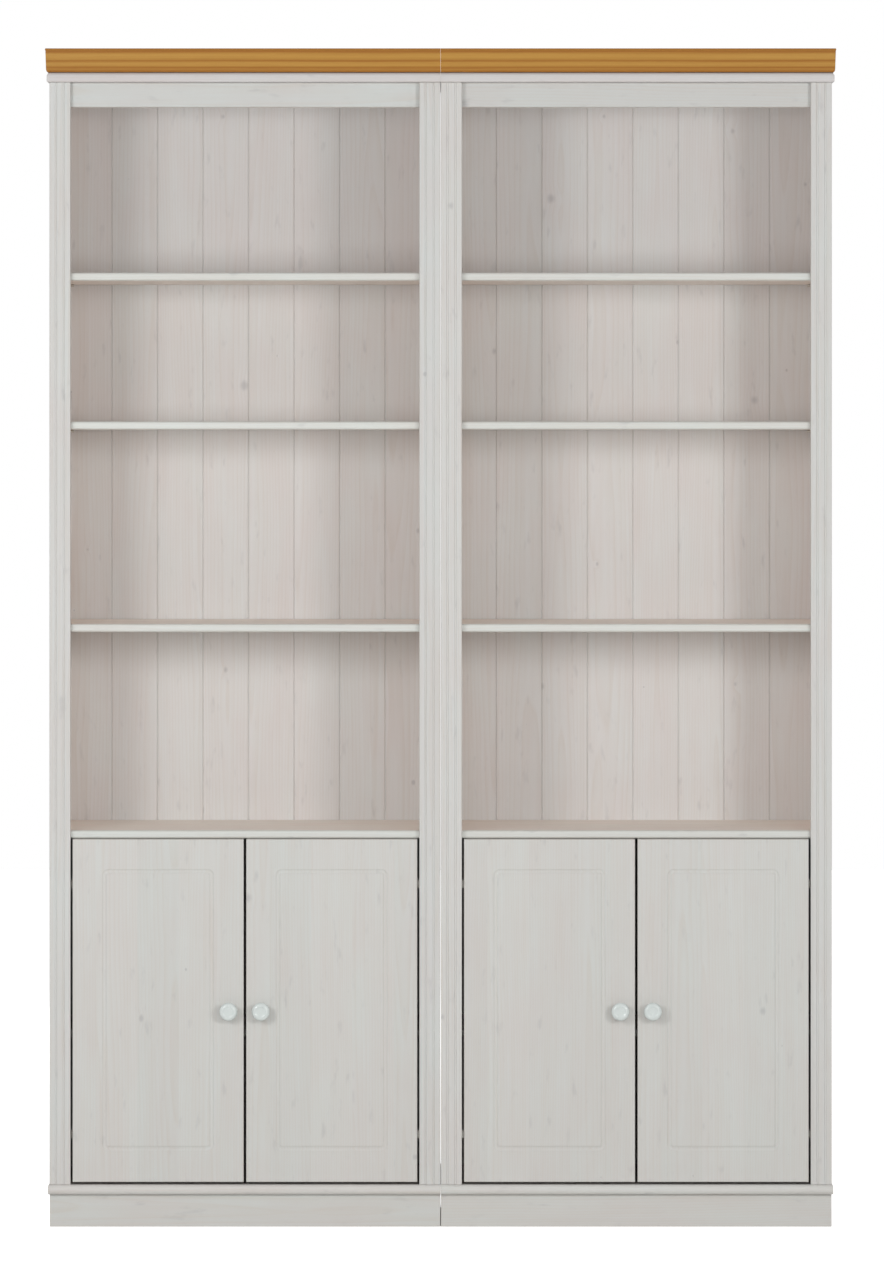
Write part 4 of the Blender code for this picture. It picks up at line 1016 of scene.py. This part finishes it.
# The inner faces of the sides take a paler, pinker white than their outer faces: it paints warm bounce light
# into the shaded cabinet.
OUTSIDE_WHITE, PAINTED_BOUNCE_SIDE_WHITE = "D0CFCA", "F9E8E0"
PIN_PROFILE = (
    # radius, height above the panel: the stem in the hole, a thin collar, the part under the shelf
    (0, -0.006), (0.0022, -0.006), (0.0024, -0.0002), (0.0034, -0.0001), (0.0034, 0.0007), (0.0031, 0.0010),
    (0.0025, 0.0010), (0.0025, 0.0080), (0.0023, 0.0086), (0.0017, 0.0089), (0, 0.0090),
)
drill = drill_bit("drill", HOLE_RADIUS, HOLE_DEPTH, 20)
pin_shape = turned_mesh("shelf_pin", PIN_PROFILE, 24)
pin_spots = []
for unit, hand in UNITS:
    for part, outward in (("inner_side", -hand), ("outer_side", hand)):
        node = f"{unit}_{part}"
        low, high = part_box(node)
        inwards = (-outward, 0, 0)
        outer_face = high.x if outward > 0 else low.x
        inner_face = outer_face - outward * SIDE_THICK
        shoulder = high.y - BACK_THICK - FIT_GAP
        step_x = inner_face + outward * BACK_REBATE
        loop = [(inner_face, low.y), (outer_face, low.y), (outer_face, high.y), (step_x, high.y),
                (step_x, shoulder), (inner_face, shoulder)]
        fade = (0, inner_face + outward * SIDE_FADE, outer_face - outward * SIDE_FADE)
        material = glazed_pine(node, "ZX", (PAINTED_BOUNCE_SIDE_WHITE, OUTSIDE_WHITE), fade, PANEL_STAVE)
        panel = upright(node, [loop], material)
        holes = []
        for shelf in LOOSE_SHELVES:
            shelf_low, shelf_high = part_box(f"{unit}_{shelf}")
            pin_z = shelf_low.z - FIT_GAP - PIN_RADIUS
            for y in (shelf_low.y + PIN_FROM_FRONT, shelf_high.y - PIN_FROM_REAR):
                pin_spots.append(((inner_face, y, pin_z), inwards))
                holes += [((inner_face, y, pin_z + rise * HOLE_STEP), inwards) for rise in range(-2, 3)]
        panel = cut(panel, fittings(f"{node}_drills", holes, drill))
        finish_piece(f"{node}_panel", panel, "cabinet", "white_glazed_pine", node, material=material)
steel_fittings("shelf_pins", pin_spots, pin_shape, PIN_TURN)
print("shelf pins:", len(pin_spots))

# %% [markdown]
# ## The routed line on the doors
# A shallow line is routed round the middle of each door with a round-nosed cutter, which
# leaves rounded corners. A geometry tree makes that cutter's whole path, as a tube along a
# closed path, and the door is cut with it.

# %% Geometry tree: routed line
NOSE_STEPS = 48
route_tree, given, gives = geometry_tree("routed_line", ("Cutter radius", "Float"))
path = add_node(route_tree, "GeometryNodeMeshToCurve", {0: given["Geometry"]})
nose = {"Resolution": NOSE_STEPS, "Radius": given["Cutter radius"]}
nose = add_node(route_tree, "GeometryNodeCurvePrimitiveCircle", nose)
swept = add_node(route_tree, "GeometryNodeCurveToMesh", {0: path, 1: nose})
end_tree(route_tree, swept, given, gives)
print("routed line:", len(route_tree.nodes), "nodes")

# %% [markdown]
# ## Doors
# Each door is one glued-up board with softly rounded front edges. Three cuts are made in it:
# the routed line, two cup holes for the hinges, and the hole for the knob's screw.

# %% Doors
LINE_SIDE, LINE_TOP, LINE_BOTTOM = 0.0555, 0.0558, 0.0594
LINE_WIDTH, LINE_DEPTH, LINE_CORNER = 0.0079, 0.0015, 0.0072
LINE_CUTTER = groove_cutter(LINE_WIDTH, LINE_DEPTH)
DOOR_ROUND, DOOR_FADE = 0.0022, (-0.008, -0.003)
KNOB_FROM_MEETING_EDGE = 0.026
HINGE_FROM_END, HINGE_INSET = 0.080, 0.0225
CUP_RADIUS, CUP_DEPTH = 0.0175, 0.0130
SCREW_HOLE, SCREW_HOLE_DEPTH, SCREW_HOLE_OVERRUN = 0.00265, 0.03, 0.01
DOOR_WHITE = "CDCECC"
DOOR_INSIDE_WHITE = "CDC8C3"
ALONG_Y = Matrix.Rotation(math.radians(90), 4, "X")
cup_bore = drill_bit("cup_bore", CUP_RADIUS + FIT_GAP, CUP_DEPTH + FIT_GAP, 64)
screw_bore = drill_bit("screw_bore", SCREW_HOLE, SCREW_HOLE_DEPTH, 24, SCREW_HOLE_OVERRUN)
radii = {edge: DOOR_ROUND for edge in ((-1, -1, 0), (1, -1, 0), (0, -1, 1), (0, -1, -1))}
doors = {}
for unit, hand in UNITS:
    for which, towards in (("outer", hand), ("inner", -hand)):
        node = f"{unit}_{which}_door"
        low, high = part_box(node)
        hinge_edge, meeting_edge = (high.x, low.x) if towards > 0 else (low.x, high.x)
        knob_x = meeting_edge + towards * KNOB_FROM_MEETING_EDGE
        pivot_x = hinge_edge - towards * HINGE_INSET
        hinge_heights = (low.z + HINGE_FROM_END, high.z - HINGE_FROM_END)
        doors[node] = (towards, knob_x, pivot_x, hinge_heights, low, high)
        slab = rounded_block(node, low, high, radii)
        left, right = low.x + LINE_SIDE + LINE_CORNER, high.x - LINE_SIDE - LINE_CORNER
        bottom, top = low.z + LINE_BOTTOM + LINE_CORNER, high.z - LINE_TOP - LINE_CORNER
        loop = []
        for turn, corner in enumerate(((right, top), (left, top), (left, bottom), (right, bottom))):
            loop += arc(corner, (LINE_CORNER, LINE_CORNER), 90 * turn, 90 * turn + 90, 8)
        line = grow(route_tree, outline_edges(f"{node}_line", [loop]), cutter_radius=LINE_CUTTER)
        line.transform(Matrix.Translation((0, low.y + LINE_DEPTH - LINE_CUTTER, 0)) @ ALONG_Y)
        cups = [((pivot_x, high.y, z), (0, 1, 0)) for z in hinge_heights]
        bores = fittings(f"{node}_bores", cups, cup_bore)
        hole = [((knob_x, high.y, (low.z + high.z) / 2), (0, 1, 0))]
        hole = fittings(f"{node}_hole", hole, screw_bore)
        slab = cut(slab, line, bores, hole)
        fade = fade_behind(high.y, DOOR_FADE)
        material = glazed_pine(node, "ZY", (DOOR_WHITE, DOOR_INSIDE_WHITE), fade, PANEL_STAVE)
        finish_piece(f"{node}_leaf", slab, node, "white_glazed_pine", node, material=material)
print("doors:", sorted(doors))

# %% [markdown]
# ## Knobs
# A knob is turned: a small dished disc on top, a full round edge, and a waist that flares to
# the base on the door. A steel screw holds it from inside.

# %% Knobs and their screws
KNOB_PROJECTION, KNOB_RADIUS = 0.0263, 0.0158
DISC_RADIUS, DISC_DEPTH, RIM_WIDTH = 0.0077, 0.00085, 0.0024
DISC_EDGE, DISC_CROWN, DISC_SHOULDER = (0.0004, 0.0003), 0.0002, 0.00012
UPPER_DROP, LOWER_DROP = 0.0061, 0.0066
NECK_RADIUS, NECK_SWELL, NECK_STRAIGHT = 0.0064, 0.0001, 0.0015
BASE_RADIUS, BASE_THICK, BASE_ROUND = 0.0086, 0.0028, 0.0006
SCREW_RADIUS, SCREW_LENGTH = 0.00205, 0.0176
SCREW_HEAD_RADIUS, SCREW_HEAD_THICK = 0.0046, 0.00235
SCREW_CROSS = (0.0024, 0.0009, 0.0011)


def knob_profile():
    """Half of the outline of a knob, from the middle of its face round to its base."""
    rim = DISC_RADIUS + RIM_WIDTH
    widest = KNOB_PROJECTION - UPPER_DROP
    waist = (widest - LOWER_DROP + BASE_THICK) / 2
    dish = KNOB_PROJECTION - DISC_DEPTH
    loop = [(0, dish + DISC_CROWN), (DISC_RADIUS * 0.55, dish + DISC_SHOULDER), (DISC_RADIUS * 0.9, dish)]
    loop += arc((DISC_RADIUS, dish + DISC_EDGE[1]), DISC_EDGE, 270, 360, 3)
    loop += arc((rim, widest), (KNOB_RADIUS - rim, UPPER_DROP), 100, 0, 14)
    loop += arc((NECK_RADIUS, widest), (KNOB_RADIUS - NECK_RADIUS, LOWER_DROP), 0, -90, 14)[1:]
    loop += [(NECK_RADIUS, waist + NECK_STRAIGHT), (NECK_RADIUS + NECK_SWELL, waist)]
    loop += arc((BASE_RADIUS, waist), (BASE_RADIUS - NECK_RADIUS, waist - BASE_THICK), 180, 270, 8)[1:]
    rounded = (BASE_RADIUS - BASE_ROUND, BASE_THICK - BASE_ROUND)
    loop += arc(rounded, (BASE_ROUND, BASE_ROUND), 80, 0, 4)
    return [*loop, (BASE_RADIUS, 0), (0, 0)]


def domed_screw(name, shank, length, head, thick, dome_steps, steps, cross):
    """A screw along Z with its domed head on z = 0. Cross is the recess's reach, width and depth."""
    dome = arc((0, 0), (head, thick), 0, 90, dome_steps)
    profile = [(0, -length), (shank, -length), (shank, 0), (head, 0), *dome[1:-1], (0, thick)]
    reach, width, depth = cross
    bars = []
    for size in ((2 * reach, width, 2 * depth), (width, 2 * reach, 2 * depth)):
        bars.append(bpy.data.meshes.new("recess"))
        shape = bmesh.new()
        bmesh.ops.create_cube(shape, size=1, matrix=Matrix.LocRotScale(Vector((0, 0, thick)), None, size))
        shape.to_mesh(bars[-1])
        shape.free()
    return welded(cut(turned_mesh(name, profile, steps), *bars))


knob_mesh = turned_mesh("knob", knob_profile(), 64)
knob_screw = domed_screw("knob_screw", SCREW_RADIUS, SCREW_LENGTH, SCREW_HEAD_RADIUS, SCREW_HEAD_THICK, 8, 32,
                         SCREW_CROSS)
for node, (towards, knob_x, pivot_x, hinge_heights, low, high) in doors.items():
    knob = node.replace("door", "knob")
    z = (low.z + high.z) / 2
    turned = fittings(knob, [((knob_x, low.y - FIT_GAP, z), (0, -1, 0))], knob_mesh, material=WHITE_LACQUER)
    finish_piece(f"{knob}_turning", turned, node, "white_lacquer", knob)
    steel_fittings(f"{knob}_screw", [((knob_x, high.y + FIT_GAP, z), (0, 1, 0))], knob_screw, 0.0, node)
print("knobs:", len(doors))

# %% [markdown]
# ## Concealed hinges
# A cup sits in the back of the door and an arm reaches from it round the door's edge to the
# side panel. Their solids already have the right shape, so a copy is cleaned: doubles are
# merged, flat faces are joined up, and the edges get the small radius of pressed steel.
# Screws are then set on the plates, the channels and the ears.

# %% Hinges
PIVOT_DEPTH, CUP_FLANGE_THICK, EAR_OFFSET, EAR_SCREW = 0.0079, 0.00125, 0.0084, 0.0243
NECK_END, PLATE_START, PLATE_HALF = 0.02468, 0.0118, 0.0121
PLATE_MIDDLE = NECK_END + PLATE_START + PLATE_HALF
PLATE_SCREW, PLATE_THICK, CHANNEL_THICK = 0.0175, 0.0031, 0.0069
ARM_SCREWS_ALONG = (0.0085, 0.0360)
PRESSED_EDGE, PRESSED_ANGLE, FLAT_ANGLE = 0.00035, math.radians(40), math.radians(0.5)
SHANK_LENGTH, SHANK_SHARE, CROSS_SHARES = 0.003, 0.45, (0.6, 0.22, 0.5)
SMALL_SCREWS = {"plate_screw": (0.0034, 0.0016), "arm_screw": (0.0030, 0.0009)}
SCREW_TURN = 3.0


def cleaned_copy(node):
    """A welded copy of a CAD node with its flat faces joined and its edges softened."""
    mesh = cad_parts[node].data.copy()
    shape = bmesh.new()
    shape.from_mesh(mesh)
    bmesh.ops.remove_doubles(shape, verts=shape.verts, dist=WELD)
    bmesh.ops.dissolve_limit(shape, angle_limit=FLAT_ANGLE, verts=shape.verts, edges=shape.edges)
    shape.to_mesh(mesh)
    shape.free()
    mesh.name = f"{node}_pressing"
    settings = {"width": PRESSED_EDGE, "segments": 2, "limit_method": "ANGLE", "angle_limit": PRESSED_ANGLE}
    return run_modifiers(mesh, ("BEVEL", settings))


small_screws = {}
for name, (head, thick) in SMALL_SCREWS.items():
    cross = (head * CROSS_SHARES[0], head * CROSS_SHARES[1], thick * CROSS_SHARES[2])
    small_screws[name] = domed_screw(name, head * SHANK_SHARE, SHANK_LENGTH, head, thick, 6, 28, cross)
arm_screws, plate_screws = [], []
for node, (towards, knob_x, pivot_x, hinge_heights, low, high) in doors.items():
    pivot_y = high.y - PIVOT_DEPTH
    ear_y = high.y + FIT_GAP + CUP_FLANGE_THICK
    inwards = (-towards, 0, 0)
    ear_screws = []
    for level, z in zip(("lower", "upper"), hinge_heights):
        cup, arm = f"{node}_{level}_hinge_cup", f"{node}_{level}_hinge_arm"
        for part, body in ((cup, node), (arm, "cabinet")):
            finish_piece(f"{part}_pressing", cleaned_copy(part), body, "nickel_plated_steel", part,
                         material=NICKEL)
        arm_low, arm_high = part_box(arm)
        plate_face = (arm_high.x if towards > 0 else arm_low.x) - towards * PLATE_THICK
        channel_face = plate_face - towards * CHANNEL_THICK
        for along in ARM_SCREWS_ALONG:
            arm_screws.append(((channel_face, pivot_y + NECK_END + along, z), inwards))
        for sign in (-1, 1):
            plate_screws.append(((plate_face, pivot_y + PLATE_MIDDLE, z + sign * PLATE_SCREW), inwards))
            ear_screws.append(((pivot_x - towards * EAR_OFFSET, ear_y, z + sign * EAR_SCREW), (0, 1, 0)))
    steel_fittings(f"{node}_cup_screws", ear_screws, small_screws["plate_screw"], SCREW_TURN, node)
steel_fittings("hinge_plate_screws", plate_screws, small_screws["plate_screw"], SCREW_TURN)
steel_fittings("hinge_arm_screws", arm_screws, small_screws["arm_screw"], SCREW_TURN)
print("hinge screws:", len(plate_screws) + len(arm_screws))

# %% [markdown]
# ## Pieces and faces
# The last cell counts the pieces made and their faces.

# %% Count the pieces and faces
faces = sum(len(bpy.data.objects[name].data.polygons) for name in pieces_made)
print("pieces:", len(pieces_made), "faces:", faces)
